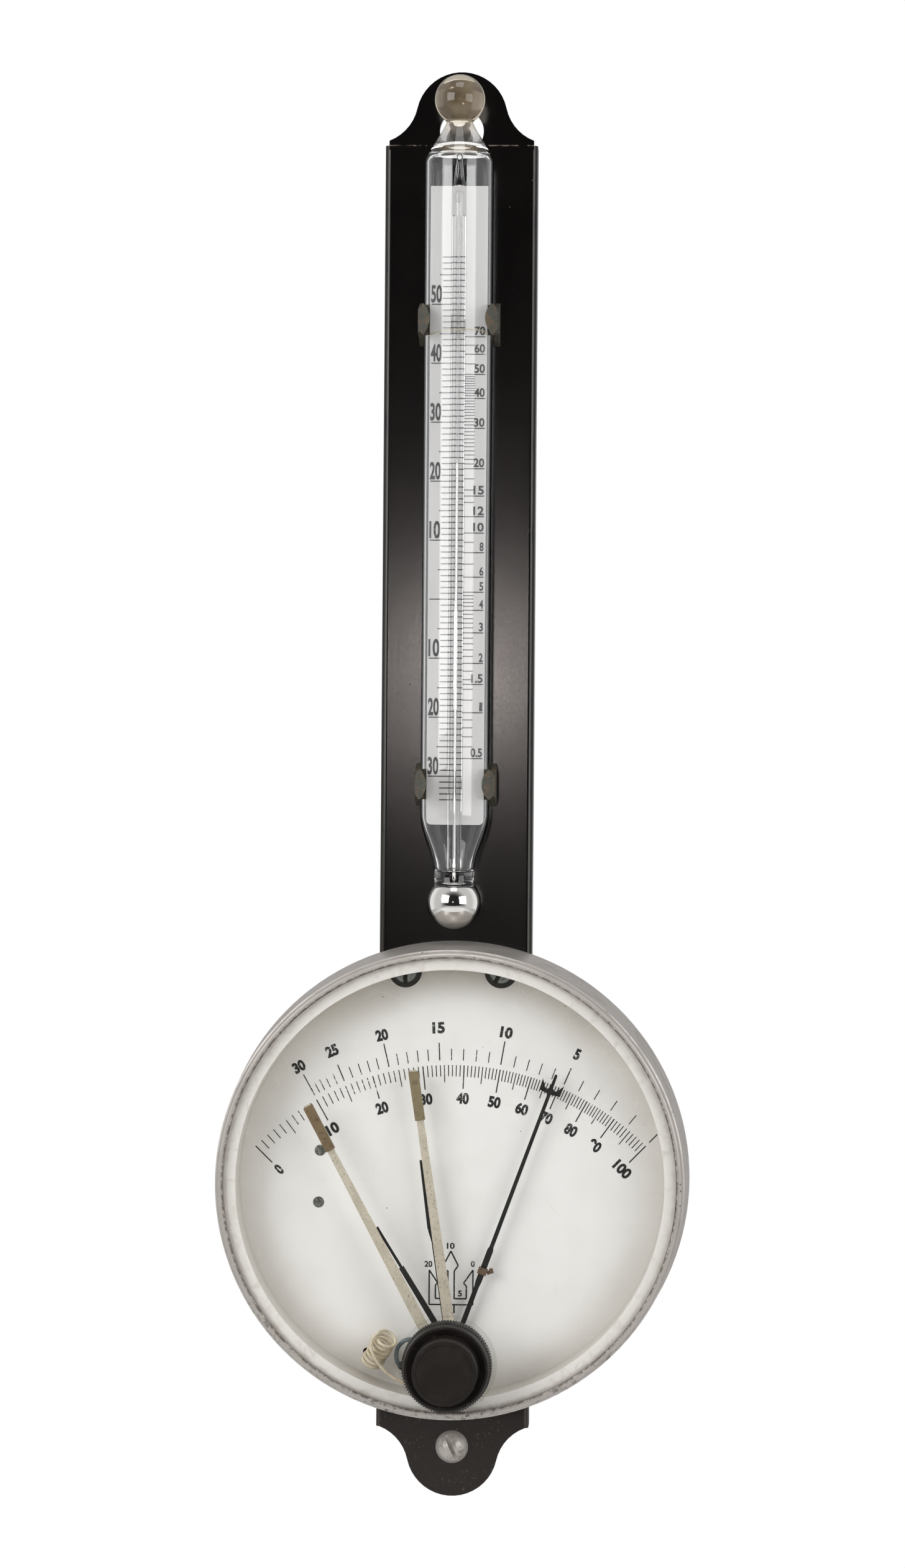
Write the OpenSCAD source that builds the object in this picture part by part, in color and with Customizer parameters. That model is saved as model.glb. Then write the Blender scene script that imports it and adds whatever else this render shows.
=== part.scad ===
// Wall polymeter: a hair hygrometer with two setting hands and contact leads,
// and a mercury thermometer with an enclosed scale above it, on one black channel plate.
// The origin is the centre of the hanging hole, on the front face of the plate.
// X is to the right, Z is up, and the front faces -Y, so a height is a distance towards -Y.

/* [Back plate] */
// Width of the channel plate
plate_w = 35.4; // [30:0.1:44]
// Thickness of the plate's sheet
plate_t = 1.5; // [1:0.1:2.5]
// Depth of the flanges behind the front face
flange_d = 8; // [5:0.5:14]
// Outer radius of the long bends
bend_r = 1.4; // [0.6:0.1:2]
// Length of the flanged part
channel_l = 297.3; // [285:0.1:310]
// Height of the upper ogee tab beyond the flanges
tab_h = 17; // [15:0.5:20]
// Height of the lower ogee tab beyond the flanges
tab_h_low = 15.9; // [15:0.1:20]
// Radius of the tab's round end
dome_r = 10.6; // [9.5:0.1:11]
// Radius of the tab's hollow shoulders
cove_r = 10.4; // [9:0.1:12]
// Radius of the hanging hole
hang_r = 5.1; // [3:0.1:6]
// Distance of the hanging hole from the top of the flanges
hang_up = 3.3; // [2:0.1:5]

/* [Fixing screw] */
// Radius of the lower screw's round head
low_head_r = 3.8; // [2.5:0.1:5]
// Radius of the lower screw's shank
low_shank_r = 1.75; // [1.2:0.05:2.2]
// Distance of the lower screw below the flanges
low_screw_down = 4.5; // [3:0.1:7]

/* [Thermometer] */
// Outer radius of the glass jacket
jacket_r = 7.9; // [6.5:0.1:9]
// Wall of the glass jacket
jacket_wall = 0.7; // [0.5:0.1:1.5]
// Gap between the jacket and the clip's base strap
jacket_gap = 0.9; // [0.2:0.1:2]
// Radius of the glass ball at the top
ball_r = 5.8; // [4.5:0.1:6.5]
// Outer radius of the bulb
bulb_r = 6.2; // [5:0.1:7]
// Wall of the bulb
bulb_wall = 0.8; // [0.4:0.1:1.2]
// Width of the milk-glass scale strip
strip_w = 13.4; // [11:0.1:14]
// Thickness of the scale strip
strip_t = 0.8; // [0.5:0.1:1.2]
// Width of the capillary
capillary_w = 3.1; // [2:0.1:4]
// Radius of the capillary's bore
bore_r = 0.35; // [0.2:0.05:0.5]
// Temperature that the mercury stands at
reading_c = 23; // [-20:1:45]

/* [Clips] */
// Thickness of the clip's sheet
clip_t = 1.2; // [0.6:0.1:1.5]
// Length of a leaf-shaped claw
leaf_l = 7; // [5:0.1:9]
// Angle from the front at which a claw ends
claw_angle = 52; // [40:1:65]
// Distance of the upper clip below the hanging hole
clip_down_top = 45; // [40:0.5:60]
// Distance of the lower clip above the jacket's lower shoulder
clip_rise = 6.7; // [4:0.1:20]

/* [Case] */
// Radius of the case at the back
case_r = 54.6; // [50:0.1:60]
// Taper of the case's wall, on the radius
case_taper = 1.4; // [0:0.1:3]
// Wall of the case
case_wall = 1.1; // [0.8:0.1:1.3]
// Height of the case's wall
case_h = 22; // [18:0.5:30]
// Distance of the case's lowest edge above the end of the flanges
case_lift = 3.7; // [1:0.1:8]
// Width of the inner ring's front face
ring_w = 2.7; // [2:0.1:4]
// Height of the bezel's lip above the case's wall
bezel_h = 2.7; // [1.5:0.1:4]
// Thickness of the crystal
crystal_t = 2; // [1.5:0.1:3]
// Depth of the dial's front face below the case's edge
dial_depth = 11.5; // [11:0.1:11.6]
// Thickness of the dial
dial_t = 1; // [0.6:0.1:1.5]

/* [Pointer and hands] */
// Distance of the hands' axis above the case's lowest edge
axis_rim = 14.2; // [13.8:0.1:17]
// Length of the hygrometer's pointer from its axis
pointer_l = 69.3; // [60:0.1:69.5]
// Angle of the pointer, clockwise from upright
pointer_angle = 20.2; // [-42:0.1:42]
// Angle of the low setting hand
low_angle = -28.2; // [-42:0.1:40]
// Angle of the high setting hand
high_angle = -8.55; // [-42:0.1:42]
// Reach of the setting hands from the axis
hand_l = 66.5; // [60:0.5:67]
// Width of a setting hand at its root
hand_w = 2.7; // [2:0.1:3]
// Thickness of a setting hand
hand_t = 0.5; // [0.3:0.05:0.6]
// Length of the contact sleeve on a hand's end
sleeve_l = 11.6; // [8:0.1:14]
// Radius of the inner setting shaft
inner_shaft_r = 1.25; // [1:0.05:1.5]
// Wall of the outer setting shaft
outer_shaft_wall = 0.9; // [0.6:0.05:1.2]
// Running clearance of shafts and spindle, on the radius
run_gap = 0.05; // [0.02:0.01:0.08]

/* [Knobs] */
// Radius over the knurled knob
knob_r = 10.2; // [9:0.1:11]
// Height of the knurled knob
knob_h = 8; // [6:0.1:10]
// Number of ridges in the knurl
knurl_n = 96; // [60:1:120]
// Radius of the cap knob
cap_r = 7.3; // [6:0.1:8]
// Height of the cap knob
cap_h = 7.6; // [5:0.1:10]

/* [Leads] */
// Diameter of the white coiled lead
white_d = 0.75; // [0.5:0.05:0.8]
// Turns in the white lead's coil
coil_turns = 7; // [4:1:7]
// Rise of the coil for each turn
coil_pitch = 1.2; // [1.15:0.05:1.3]
// Radius of the coil at the middle of the wire
coil_r = 2.2; // [1.8:0.1:2.3]
// Diameter of the blue lead
blue_d = 1; // [0.6:0.05:1.1]

/* [Hidden] */
$fn = 96;

// A cut runs this far past the face that it opens
cut = 1;
// Gap between pieces of one body that don't turn
seat = 0.02;

plate_top = -hang_up;
plate_bottom = plate_top - channel_l;
low_screw_z = plate_bottom - low_screw_down;
case_z = plate_bottom + case_lift + case_r;
axis_down = case_r - axis_rim;
pivot_z = case_z - axis_down;
floor_t = 1.2;
dial_h = case_h - dial_depth;
// The thermometer's bulb hangs just over the case, and its lower parts follow the bulb
bulb_z = case_z + case_r + 2.9 + bulb_r;
low_neck_z = bulb_z + 5.8;
waist_z = low_neck_z + 14.6;

// Puts a drawing made in the front view at a height above the plate
module front(h) { translate([0, -h, 0]) rotate([90, 0, 0]) children(); }
module at_case(h) { front(h) translate([0, case_z]) children(); }
module at_pivot(h) { front(h) translate([0, pivot_z]) children(); }
// A plain pin along the view
module pin(r, l) { cylinder(r = r, h = l); }
// A washer or tube along the view
module tube(r, r_in, l) {
  difference() {
    cylinder(r = r, h = l);
    translate([0, 0, -cut]) cylinder(r = r_in, h = l + 2 * cut);
  }
}
// A slotted screw head whose seat is at zero
module slotted_head(r, h, slot_w, turn) {
  dome = (r * r + h * h) / (2 * h);
  difference() {
    intersection() {
      translate([0, 0, h - dome]) sphere(r = dome);
      cylinder(r = r, h = h);
    }
    rotate(turn) translate([-slot_w / 2, -r - cut, h * 0.45]) cube([slot_w, 2 * (r + cut), h]);
  }
}

// Back plate: a channel with flanges to the rear and an ogee tab at each end
tangent_z = dome_r * 0.211;
module ogee(tab_h) {
  // The base line is the end of the flanges and the tab points up
  dome_z = tab_h - dome_r;
  reach = dome_r + cove_r;
  cove_z = dome_z + reach * 0.211;
  cove_x = reach * sqrt(1 - 0.211 * 0.211);
  foot_w = plate_w - 2 * bend_r + 1;
  difference() {
    translate([-foot_w / 2, -cut]) square([foot_w, cut + dome_z + tangent_z]);
    for (s = [-1, 1]) translate([s * cove_x, cove_z]) circle(r = cove_r);
  }
  translate([0, dome_z]) circle(r = dome_r);
}
module channel_section() {
  // Drawn with the front face on the line y = 0 and the flanges towards +y
  inner_r = 0.4;
  difference() {
    union() {
      translate([-plate_w / 2 + bend_r, 0]) square([plate_w - 2 * bend_r, plate_t]);
      for (s = [-1, 1]) {
        translate([s * (plate_w / 2 - bend_r), bend_r]) circle(r = bend_r);
        translate([s * (plate_w / 2 - plate_t / 2) - plate_t / 2, bend_r])
          square([plate_t, flange_d - bend_r]);
      }
      translate([-plate_w / 2 + bend_r, plate_t]) square([plate_w - 2 * bend_r, inner_r]);
    }
    difference() {
      translate([-plate_w / 2 + plate_t, plate_t])
        square([plate_w - 2 * plate_t, flange_d]);
      for (s = [-1, 1]) difference() {
        translate([s * (plate_w / 2 - plate_t - inner_r / 2) - inner_r / 2, plate_t])
          square(inner_r);
        translate([s * (plate_w / 2 - plate_t - inner_r), plate_t + inner_r]) circle(r = inner_r);
      }
    }
  }
}
nut_r = 3;
screw_x = plate_w / 2 - plate_t - nut_r - 0.2;
screw_z = 22;
case_hole_r = 1.6;
clip_z = [-clip_down_top, waist_z + clip_rise];
rivet_r = 1.2;
module back_plate() {
  color("#151413")
  difference() {
    union() {
      translate([0, 0, plate_bottom]) linear_extrude(channel_l) channel_section();
      rotate([90, 0, 0]) translate([0, 0, -plate_t]) linear_extrude(plate_t) {
        translate([0, plate_top]) ogee(tab_h);
        translate([0, plate_bottom]) mirror([0, 1]) ogee(tab_h_low);
      }
    }
    front(-plate_t - cut) pin(hang_r, plate_t + 2 * cut);
    front(-plate_t - cut) translate([0, low_screw_z]) pin(low_shank_r + seat, plate_t + 2 * cut);
    for (x = [-screw_x, screw_x], z = [-screw_z, screw_z])
      at_case(-plate_t - cut) translate([x, z]) pin(case_hole_r + seat, plate_t + 2 * cut);
    for (z = clip_z)
      front(-plate_t - cut) translate([0, z]) pin(rivet_r + seat, plate_t + 2 * cut);
  }
}

// Lower fixing: a round-head screw into a threaded spacer behind the tab
low_head_h = 2.4;
low_thread = 5;
module lower_screw() {
  color("#8d867a")
  front(0) translate([0, low_screw_z]) {
    slotted_head(low_head_r, low_head_h, 0.9, 24);
    translate([0, 0, -plate_t - low_thread]) pin(low_shank_r, plate_t + low_thread);
  }
}
module lower_spacer() {
  color("#a98f52")
  front(-flange_d) translate([0, low_screw_z]) difference() {
    cylinder(r = low_shank_r * 2.2, h = flange_d - plate_t);
    translate([0, 0, flange_d - plate_t - low_thread - 0.2])
      cylinder(r = low_shank_r + seat, h = low_thread + cut);
  }
}

// Clips: a strap across the plate whose arms end in curved leaf claws round the jacket
jacket_h = clip_t + jacket_gap + jacket_r;
claw_in = jacket_r + 0.2;
arm_half = 4.9;
arm_top = 2.7;
module clip(z) {
  out_r = claw_in + clip_t;
  color("#4f4d45")
  difference() {
    union() {
      // base strap and side arms, which narrow towards the jacket's widest line
      difference() {
        translate([-out_r, 0, z]) rotate([90, 0, 90]) linear_extrude(2 * out_r)
          polygon([[0, -arm_half], [0, arm_half], [-1.6, arm_half], [-jacket_h - 0.2, arm_top],
                   [-jacket_h - 0.2, -arm_top], [-1.6, -arm_half]]);
        translate([-claw_in, -jacket_h - 1, z - arm_half - cut])
          cube([2 * claw_in, jacket_h + 1 - clip_t, 2 * (arm_half + cut)]);
      }
      // claws: slices of a ring, cut to a leaf in the front view
      intersection() {
        translate([0, -jacket_h, z - leaf_l]) tube(out_r, claw_in, 2 * leaf_l);
        claw_plan(out_r, z);
        translate([-out_r - cut, -jacket_h - out_r - cut, z - leaf_l])
          cube([2 * (out_r + cut), out_r + cut, 2 * leaf_l]);
      }
    }
    front(-cut) translate([0, z]) pin(rivet_r + seat, clip_t + 2 * cut);
  }
}
module claw_plan(out_r, z) {
  // Each leaf is the lens between two circles
  inner_x = claw_in * sin(claw_angle);
  half_w = (out_r + 0.3 - inner_x) / 2;
  lens_r = (leaf_l * leaf_l / 4 + half_w * half_w) / (2 * half_w);
  for (s = [-1, 1]) translate([s * (inner_x + half_w), 0, z]) rotate([90, 0, 0])
    intersection() {
      translate([lens_r - half_w, 0, 0]) cylinder(r = lens_r, h = 2 * (jacket_h + out_r));
      translate([half_w - lens_r, 0, 0]) cylinder(r = lens_r, h = 2 * (jacket_h + out_r));
    }
}
module upper_clip() { clip(clip_z[0]); }
module lower_clip() { clip(clip_z[1]); }
rivet_head_h = 0.6;
module clip_rivets() {
  color("#5a554b")
  for (z = clip_z) translate([0, 0, z]) rotate([90, 0, 0]) {
    translate([0, 0, -plate_t]) pin(rivet_r, plate_t + clip_t);
    translate([0, 0, clip_t]) pin(rivet_r * 1.7, rivet_head_h);
    translate([0, 0, -plate_t - 0.8]) pin(rivet_r * 1.7, 0.8);
  }
}

// Thermometer: everything is turned about one upright axis in front of the plate
ball_z = 5.7;
neck_r = 2.9;
neck_z = 0.9;
shoulder_z = -8.7;
low_neck_r = 4.5;
// Flare from the neck to the jacket, as shares of its drop and of its widening
flare = [[0, 0], [0.075, 0.045], [0.15, 0.12], [0.25, 0.22], [0.4, 0.4], [0.55, 0.57],
  [0.7, 0.745], [0.8, 0.865], [0.87, 0.94], [0.93, 0.985], [1, 1]];
ceiling = 3.5;
tip_z = shoulder_z + ceiling - 0.1;
well_z = low_neck_z + 1.6;
// A smooth step from a to b as t goes from 0 to 1
function ease(a, b, t) = a + (b - a) * (3 - 2 * t) * t * t;
function taper_side(top_r, low_r, z_top, z_low, n) =
  [for (i = [0:n]) [ease(top_r, low_r, i / n), z_top + (z_low - z_top) * i / n]];
module on_axis() { translate([0, -jacket_h, 0]) children(); }
module glass_jacket() {
  color("#c9d4d6", 0.35)
  on_axis() difference() {
    union() {
      translate([0, 0, ball_z]) sphere(r = ball_r);
      translate([0, 0, neck_z - 0.01]) cylinder(r = neck_r, h = ball_z - neck_z);
      rotate_extrude() polygon(concat([[0, neck_z]],
        [for (p = flare) [neck_r + (jacket_r - neck_r) * p[1], neck_z + (shoulder_z - neck_z) * p[0]]],
        taper_side(jacket_r, low_neck_r, waist_z, low_neck_z, 14),
        [[low_neck_r, low_neck_z - 4], [0, low_neck_z - 4]]));
      translate([0, 0, bulb_z]) sphere(r = bulb_r);
    }
    // sealed space round the scale
    rotate_extrude() polygon(concat(
      [for (a = [0:10:90]) [(jacket_r - jacket_wall) * sin(a), tip_z - ceiling * (1 - cos(a))]],
      taper_side(jacket_r - jacket_wall, low_neck_r - jacket_wall - 0.2, waist_z, well_z, 10),
      [[0, well_z]]));
    translate([0, 0, bulb_z]) sphere(r = bulb_r - bulb_wall);
    // fine passage from the bulb to the capillary
    translate([0, capillary_y, bulb_z]) cylinder(r = bore_r, h = well_z - bulb_z + cut);
  }
}
strip_top = -14;
strip_bottom = low_neck_z + 11.9;
// The strip stands a little behind the axis and the capillary lies on it
strip_y = 0.5;
module scale_strip() {
  color("#e9e9e6")
  on_axis() translate([0, strip_y + strip_t, 0]) rotate([90, 0, 0]) linear_extrude(strip_t) {
    corner = 1.2;
    half = strip_w / 2;
    translate([-half, strip_bottom + corner]) square([strip_w, strip_top - strip_bottom - corner]);
    translate([corner - half, strip_bottom]) square([strip_w - 2 * corner, corner + 0.01]);
    for (s = [-1, 1]) translate([s * (half - corner), strip_bottom + corner]) circle(r = corner);
  }
}
module scale_support() {
  // A drawn glass foot from the dome to the strip's upper end
  foot_top = tip_z - 0.12;
  foot_bottom = strip_top + 0.05;
  color("#d3dbdc", 0.5)
  on_axis() translate([0, strip_y + strip_t / 2, 0]) rotate_extrude() polygon([
    [0, foot_top], [0.85, foot_top], [0.7, foot_top - 2.5], [0.9, foot_bottom + 2.5],
    [1.5, foot_bottom], [0, foot_bottom]]);
}
capillary_t = 2.2;
capillary_top = -15.2;
chamber_z = -21;
chamber_r = capillary_t / 2 - 0.01;
capillary_y = strip_y - capillary_t / 2 - seat;
module capillary() {
  // Flat-oval tube with a narrower, rounded chamber at the top
  color("#dfe6e6", 0.45)
  on_axis() translate([0, capillary_y, 0]) difference() {
    union() {
      translate([0, 0, well_z + seat]) linear_extrude(chamber_z - well_z - seat)
        oval(capillary_w, capillary_t);
      translate([0, 0, chamber_z - 0.01])
        cylinder(r = chamber_r, h = capillary_top - chamber_z - chamber_r);
      translate([0, 0, capillary_top - chamber_r]) sphere(r = chamber_r);
    }
    translate([0, 0, well_z - cut]) cylinder(r = bore_r, h = chamber_z + 3 - well_z + cut);
  }
}
module oval(w, t) {
  // A flat oval: the middle of a box with a round edge on each side
  square([w - t, t], center = true);
  for (s = [-1, 1]) translate([s * (w - t) / 2, 0]) circle(r = t / 2);
}
// Height on the scale of a temperature in degrees
zero_z = low_neck_z + 63.82;
degree = 1.3558;
function temp_z(c) = zero_z + c * degree;
module mercury() {
  gap = 0.05;
  color("#b9b6ae")
  on_axis() {
    translate([0, 0, bulb_z]) sphere(r = bulb_r - bulb_wall - gap);
    translate([0, capillary_y, bulb_z])
      cylinder(r = bore_r - gap, h = temp_z(reading_c) - bulb_z);
  }
}
tie_z = -48.4;
tie_r = 0.13;
// Bowed wire loop round the strip and the capillary, as points [x, rise, y]
tie_x = strip_w / 2 + 0.03 + tie_r;
tie_back = strip_y + strip_t + 0.03 + tie_r;
tie_front = capillary_y - capillary_t / 2 - 0.05 - tie_r;
tie_loop = [[-0.3, 0, tie_back], [-tie_x, 0, tie_back], [-tie_x, 0, 0.3], [-5, 0.7, -0.1],
  [-2.3, 1.3, -0.6], [-1.7, 1.2, tie_front + 0.4], [-1, 1.1, tie_front], [1, 1.1, tie_front],
  [1.7, 1.2, tie_front + 0.4], [2.3, 1.4, -0.6], [5, 1.2, -0.1], [tie_x, 0.6, 0.3],
  [tie_x, 0.2, tie_back], [0.3, 0, tie_back]];
module tie_wire() {
  color("#b8b09a")
  front(0) swept([for (p = tie_loop) [p[0], p[1] + tie_z, jacket_h - p[2]]], 2 * tie_r, 6);
}

// Case: a tapered cup, an inner ring that carries dial and crystal, and a bezel
case_r_top = case_r - case_taper;
case_in_top = case_r_top - case_wall;
edge_r = 0.8;
module case_cup() {
  color("#c3beb6")
  at_case(0) difference() {
    rotate_extrude() polygon(concat(
      [[0, 0]],
      [for (a = [-90:15:0]) [case_r - edge_r + edge_r * cos(a), edge_r + edge_r * sin(a)]],
      [[case_r_top, case_h], [case_in_top, case_h], [case_r - case_wall, floor_t + 0.6],
       [case_r - case_wall - 0.6, floor_t], [0, floor_t]]));
    for (x = [-screw_x, screw_x], z = [-screw_z, screw_z])
      translate([x, z, -cut]) pin(case_hole_r + seat, floor_t + 2 * cut);
    for (p = movement_holes) translate([p[0], p[1], -cut]) pin(0.8 + seat, floor_t + 2 * cut);
  }
}
module case_screws() {
  color("#9a9489")
  for (x = [-screw_x, screw_x], z = [-screw_z, screw_z]) at_case(floor_t) translate([x, z]) {
    slotted_head(3, 1.6, 0.7, 30 + x + z);
    translate([0, 0, -floor_t - plate_t - nut_h]) pin(case_hole_r, floor_t + plate_t + nut_h);
  }
}
nut_h = 2.4;
module case_nuts() {
  color("#8c877e")
  for (x = [-screw_x, screw_x], z = [-screw_z, screw_z]) at_case(-plate_t - nut_h)
    translate([x, z]) difference() {
      cylinder(r = nut_r, h = nut_h, $fn = 6);
      translate([0, 0, -cut]) pin(case_hole_r + seat, nut_h + 2 * cut);
    }
}
skirt_t = 0.5;
bezel_in = case_in_top - skirt_t - 0.1;
ring_out = bezel_in - 0.1;
ring_r = ring_out - ring_w;
crystal_r = bezel_in - 0.12;
shelf_w = 5;
shelf_in = ring_out - shelf_w;
shelf_h = dial_h - dial_t;
crystal_h = case_h + bezel_h - 0.2 - crystal_t;
ring_top = crystal_h - seat;
// Dial screws stand at the dial's edge, in notches of the inner ring
dial_screw = [11, ring_r - 0.8];
dial_head_r = 3.8;
notch_h = 3.1;
screw_shank_r = 1.4;
module shelf_ring() {
  // Carries the dial and takes the dial screws
  color("#b39a5c")
  at_case(floor_t) difference() {
    tube(ring_out, shelf_in, shelf_h - floor_t);
    for (s = [-1, 1]) translate([s * dial_screw[0], dial_screw[1], shelf_h - floor_t - 5])
      pin(screw_shank_r + seat, 5 + cut);
  }
}
module inner_ring() {
  // Stands on the dial's edge and carries the crystal
  color("#d7d5cf")
  at_case(dial_h + seat) difference() {
    tube(ring_out, ring_r, ring_top - dial_h - seat);
    for (s = [-1, 1]) translate([s * dial_screw[0], dial_screw[1], -cut])
      cylinder(r = dial_head_r + 0.2, h = notch_h + cut);
  }
}
module bezel() {
  // The lip stands on the case's wall and the skirt goes inside it
  top = case_h + bezel_h;
  skirt_l = 3;
  lip_r = case_r_top + 0.1;
  color("#cfcac2")
  at_case(0) rotate_extrude() polygon([
    [bezel_in, case_h - skirt_l], [bezel_in + skirt_t, case_h - skirt_l],
    [bezel_in + skirt_t, case_h + seat], [lip_r, case_h + seat], [lip_r, case_h + 0.9],
    [lip_r - 0.35, case_h + 1.1], [lip_r - 0.5, top - 0.7], [lip_r - 0.8, top - 0.2],
    [lip_r - 1.1, top], [bezel_in + 0.25, top], [bezel_in, top - 0.25]]);
}
bush_r = 3.15;
module crystal() {
  color("#dfe8ea", 0.25)
  at_case(crystal_h) difference() {
    rotate_extrude() polygon([[0, 0], [crystal_r, 0], [crystal_r, crystal_t - 0.5],
      [crystal_r - 0.5, crystal_t], [0, crystal_t]]);
    translate([0, -axis_down, -cut]) cylinder(r = bush_r + seat, h = crystal_t + 2 * cut);
  }
}

// Dial and what carries it
dial_r = ring_out - 0.1;
feet = [[-30.3, 6.5], [-30.6, -5.4]];
foot_r = 1.25;
module dial() {
  color("#e8e7e2")
  at_case(dial_h - dial_t) difference() {
    cylinder(r = dial_r, h = dial_t);
    translate([0, -axis_down, -cut]) cylinder(r = 2.2, h = dial_t + 2 * cut);
    for (s = [-1, 1]) translate([s * dial_screw[0], dial_screw[1], -cut])
      cylinder(r = screw_shank_r + 0.1, h = dial_t + 2 * cut);
    for (p = feet) translate([p[0], p[1], -cut]) pin(foot_r + seat, dial_t + 2 * cut);
    for (p = [white_hole, blue_hole]) translate([p[0], p[1] - axis_down, -cut])
      pin(blue_d / 2 + 0.4, dial_t + 2 * cut);
  }
}
module dial_screws() {
  color("#7d8284")
  for (s = [-1, 1]) at_case(dial_h) translate([s * dial_screw[0], dial_screw[1]]) {
    slotted_head(dial_head_r, 1.7, 1, s > 0 ? -29 : 2);
    translate([0, 0, -dial_t - 4.5]) pin(screw_shank_r, dial_t + 4.5);
  }
}
module dial_feet() {
  color("#8a8f8a")
  for (p = feet) at_case(floor_t) translate(p) pin(foot_r, dial_h - floor_t + 0.08);
}

// Movement behind the dial, drawn from the hands' axis
drum_r = 1.4;
hair_r = 0.4;
hair_x = -(drum_r + hair_r + 0.05);
hair_h = 5.2;
movement_t = 1;
movement_top = axis_down + shelf_in - 4.8;
hair_top = movement_top - 8;
movement_w = 16;
movement_h = floor_t;
screw_row = movement_top - 4 - axis_down;
movement_holes = [[-6, screw_row], [6, screw_row], [6, 20 - axis_down]];
cock_h = 6.3;
cock_t = 0.9;
cock_feet = [[1, -4.4], [-6, 6]];
spindle_r = 0.7;
module movement_plate() {
  color("#b79f63")
  at_pivot(movement_h) difference() {
    union() {
      translate([-movement_w / 2, -4]) cube([movement_w, movement_top + 4, movement_t]);
      translate([0, -1.7, 0]) cylinder(r = 4, h = movement_t);
    }
    translate([0, 0, -cut]) cylinder(r = spindle_r + run_gap, h = movement_t + 2 * cut);
    for (p = movement_holes) translate([p[0], p[1] + axis_down, -cut])
      pin(0.8 + seat, movement_t + 2 * cut);
  }
}
module movement_screws() {
  color("#9a9489")
  for (p = movement_holes) at_case(movement_h + movement_t) translate(p) {
    slotted_head(1.7, 1, 0.4, 15 * p[0]);
    translate([0, 0, -movement_t - floor_t]) pin(0.8, movement_t + floor_t);
  }
}
module upper_cock() {
  color("#b79f63")
  at_pivot(cock_h) difference() {
    union() {
      for (p = cock_feet) {
        translate(p) cylinder(r = 1.3, h = cock_t);
        rotate(atan2(p[1], p[0])) translate([0, -1.1, 0]) cube([norm(p), 2.2, cock_t]);
      }
      cylinder(r = 2, h = cock_t);
    }
    translate([0, 0, -cut]) cylinder(r = spindle_r + run_gap, h = cock_t + 2 * cut);
  }
}
module cock_posts() {
  color("#a58c50")
  for (p = cock_feet) at_pivot(movement_h + movement_t) translate(p)
    cylinder(r = 1, h = cock_h - movement_h - movement_t);
}
module hair_bundle() {
  // Hairs from the clamp down to a tangent of the drum
  color("#6b5236")
  at_pivot(hair_h) translate([hair_x, 0, 0]) rotate([-90, 0, 0]) cylinder(r = hair_r, h = hair_top);
}
clamp_w = 4.4;
clamp_l = 4;
module hair_clamp() {
  color("#b79f63")
  at_pivot(movement_h + movement_t) difference() {
    translate([hair_x - clamp_w / 2, hair_top, 0]) cube([clamp_w, clamp_l, 4.9]);
    translate([hair_x, hair_top - cut, hair_h - movement_h - movement_t]) rotate([-90, 0, 0])
      cylinder(r = adjuster_r + seat, h = clamp_l + 2 * cut);
  }
}
adjuster_r = 0.9;
module hair_adjuster() {
  color("#9a9489")
  at_pivot(hair_h) translate([hair_x, hair_top, 0]) rotate([-90, 0, 0]) {
    cylinder(r = adjuster_r, h = clamp_l + 1.6);
    translate([0, 0, clamp_l + seat]) tube(1.8, adjuster_r - 0.1, 1.6);
  }
}
terminal_h = shelf_h - 1.5;
module terminal_block() {
  color("#26211c")
  at_pivot(floor_t) linear_extrude(terminal_h - floor_t) intersection() {
    polygon([[-20.4, -1], [-14, -3.5], [-9, -3.5], [-9, 3.2], [-20.4, 3.2]]);
    translate([0, axis_down]) circle(r = shelf_in - 0.2);
  }
}

// Hygrometer pointer and what turns with it
arm_h = dial_h + 2.4;
spindle_top = arm_h + 1.4;
arm_t = 0.5;
needle_t = 0.45;
arm_l = 27;
module pointer_spindle() {
  color("#a9a59c")
  at_pivot(movement_h) cylinder(r = spindle_r, h = spindle_top - movement_h);
}
module hair_drum() {
  color("#b79f63")
  at_pivot(hair_h - 0.7) tube(drum_r, spindle_r + seat, 1.4);
}
weight_reach = 8.5;
module balance_weight() {
  color("#a58c50")
  at_pivot(3) {
    tube(1.8, spindle_r + seat, 1.2);
    translate([1.4, -0.5, 0]) cube([weight_reach - 1.4, 1, 1.2]);
    translate([weight_reach, 0, 0]) cylinder(r = 1.8, h = 1.2);
  }
}
module pointer_arm() {
  color("#1b1a19")
  at_pivot(0) rotate(-pointer_angle) {
    translate([0, 0, arm_h - 0.5]) tube(2.2, spindle_r + seat, 1.9);
    translate([0, 0, arm_h]) linear_extrude(arm_t)
      polygon([[-0.6, 1.9], [0.6, 1.9], [0.55, 17.5], [0.7, 18.6], [0.7, arm_l - 0.7],
               [0.5, arm_l], [-0.5, arm_l], [-0.7, arm_l - 0.7], [-0.7, 18.6], [-0.55, 17.5]]);
  }
}
module pointer_needle() {
  // A slender needle that ends in a trident
  fork_r = pointer_l - 4.5;
  half = 2.5;
  color("#1b1a19")
  at_pivot(arm_h + arm_t) rotate(-pointer_angle) linear_extrude(needle_t) {
    polygon([[-0.5, 22.4], [0.5, 22.4], [0.4, fork_r], [0.33, pointer_l - 0.3], [0.15, pointer_l],
             [-0.15, pointer_l], [-0.33, pointer_l - 0.3], [-0.4, fork_r]]);
    // a barb on each side: a web from the needle and a pointed prong
    for (s = [-1, 1]) polygon([[0, fork_r - 0.6], [s * 0.5, fork_r - 0.25], [s * half, fork_r],
      [s * (half + 0.08), fork_r + 2.65], [s * (half - 1.05), fork_r + 0.95],
      [s * 0.85, fork_r + 0.75], [s * 0.33, fork_r + 1.3], [0, fork_r + 1.3]]);
  }
}
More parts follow.
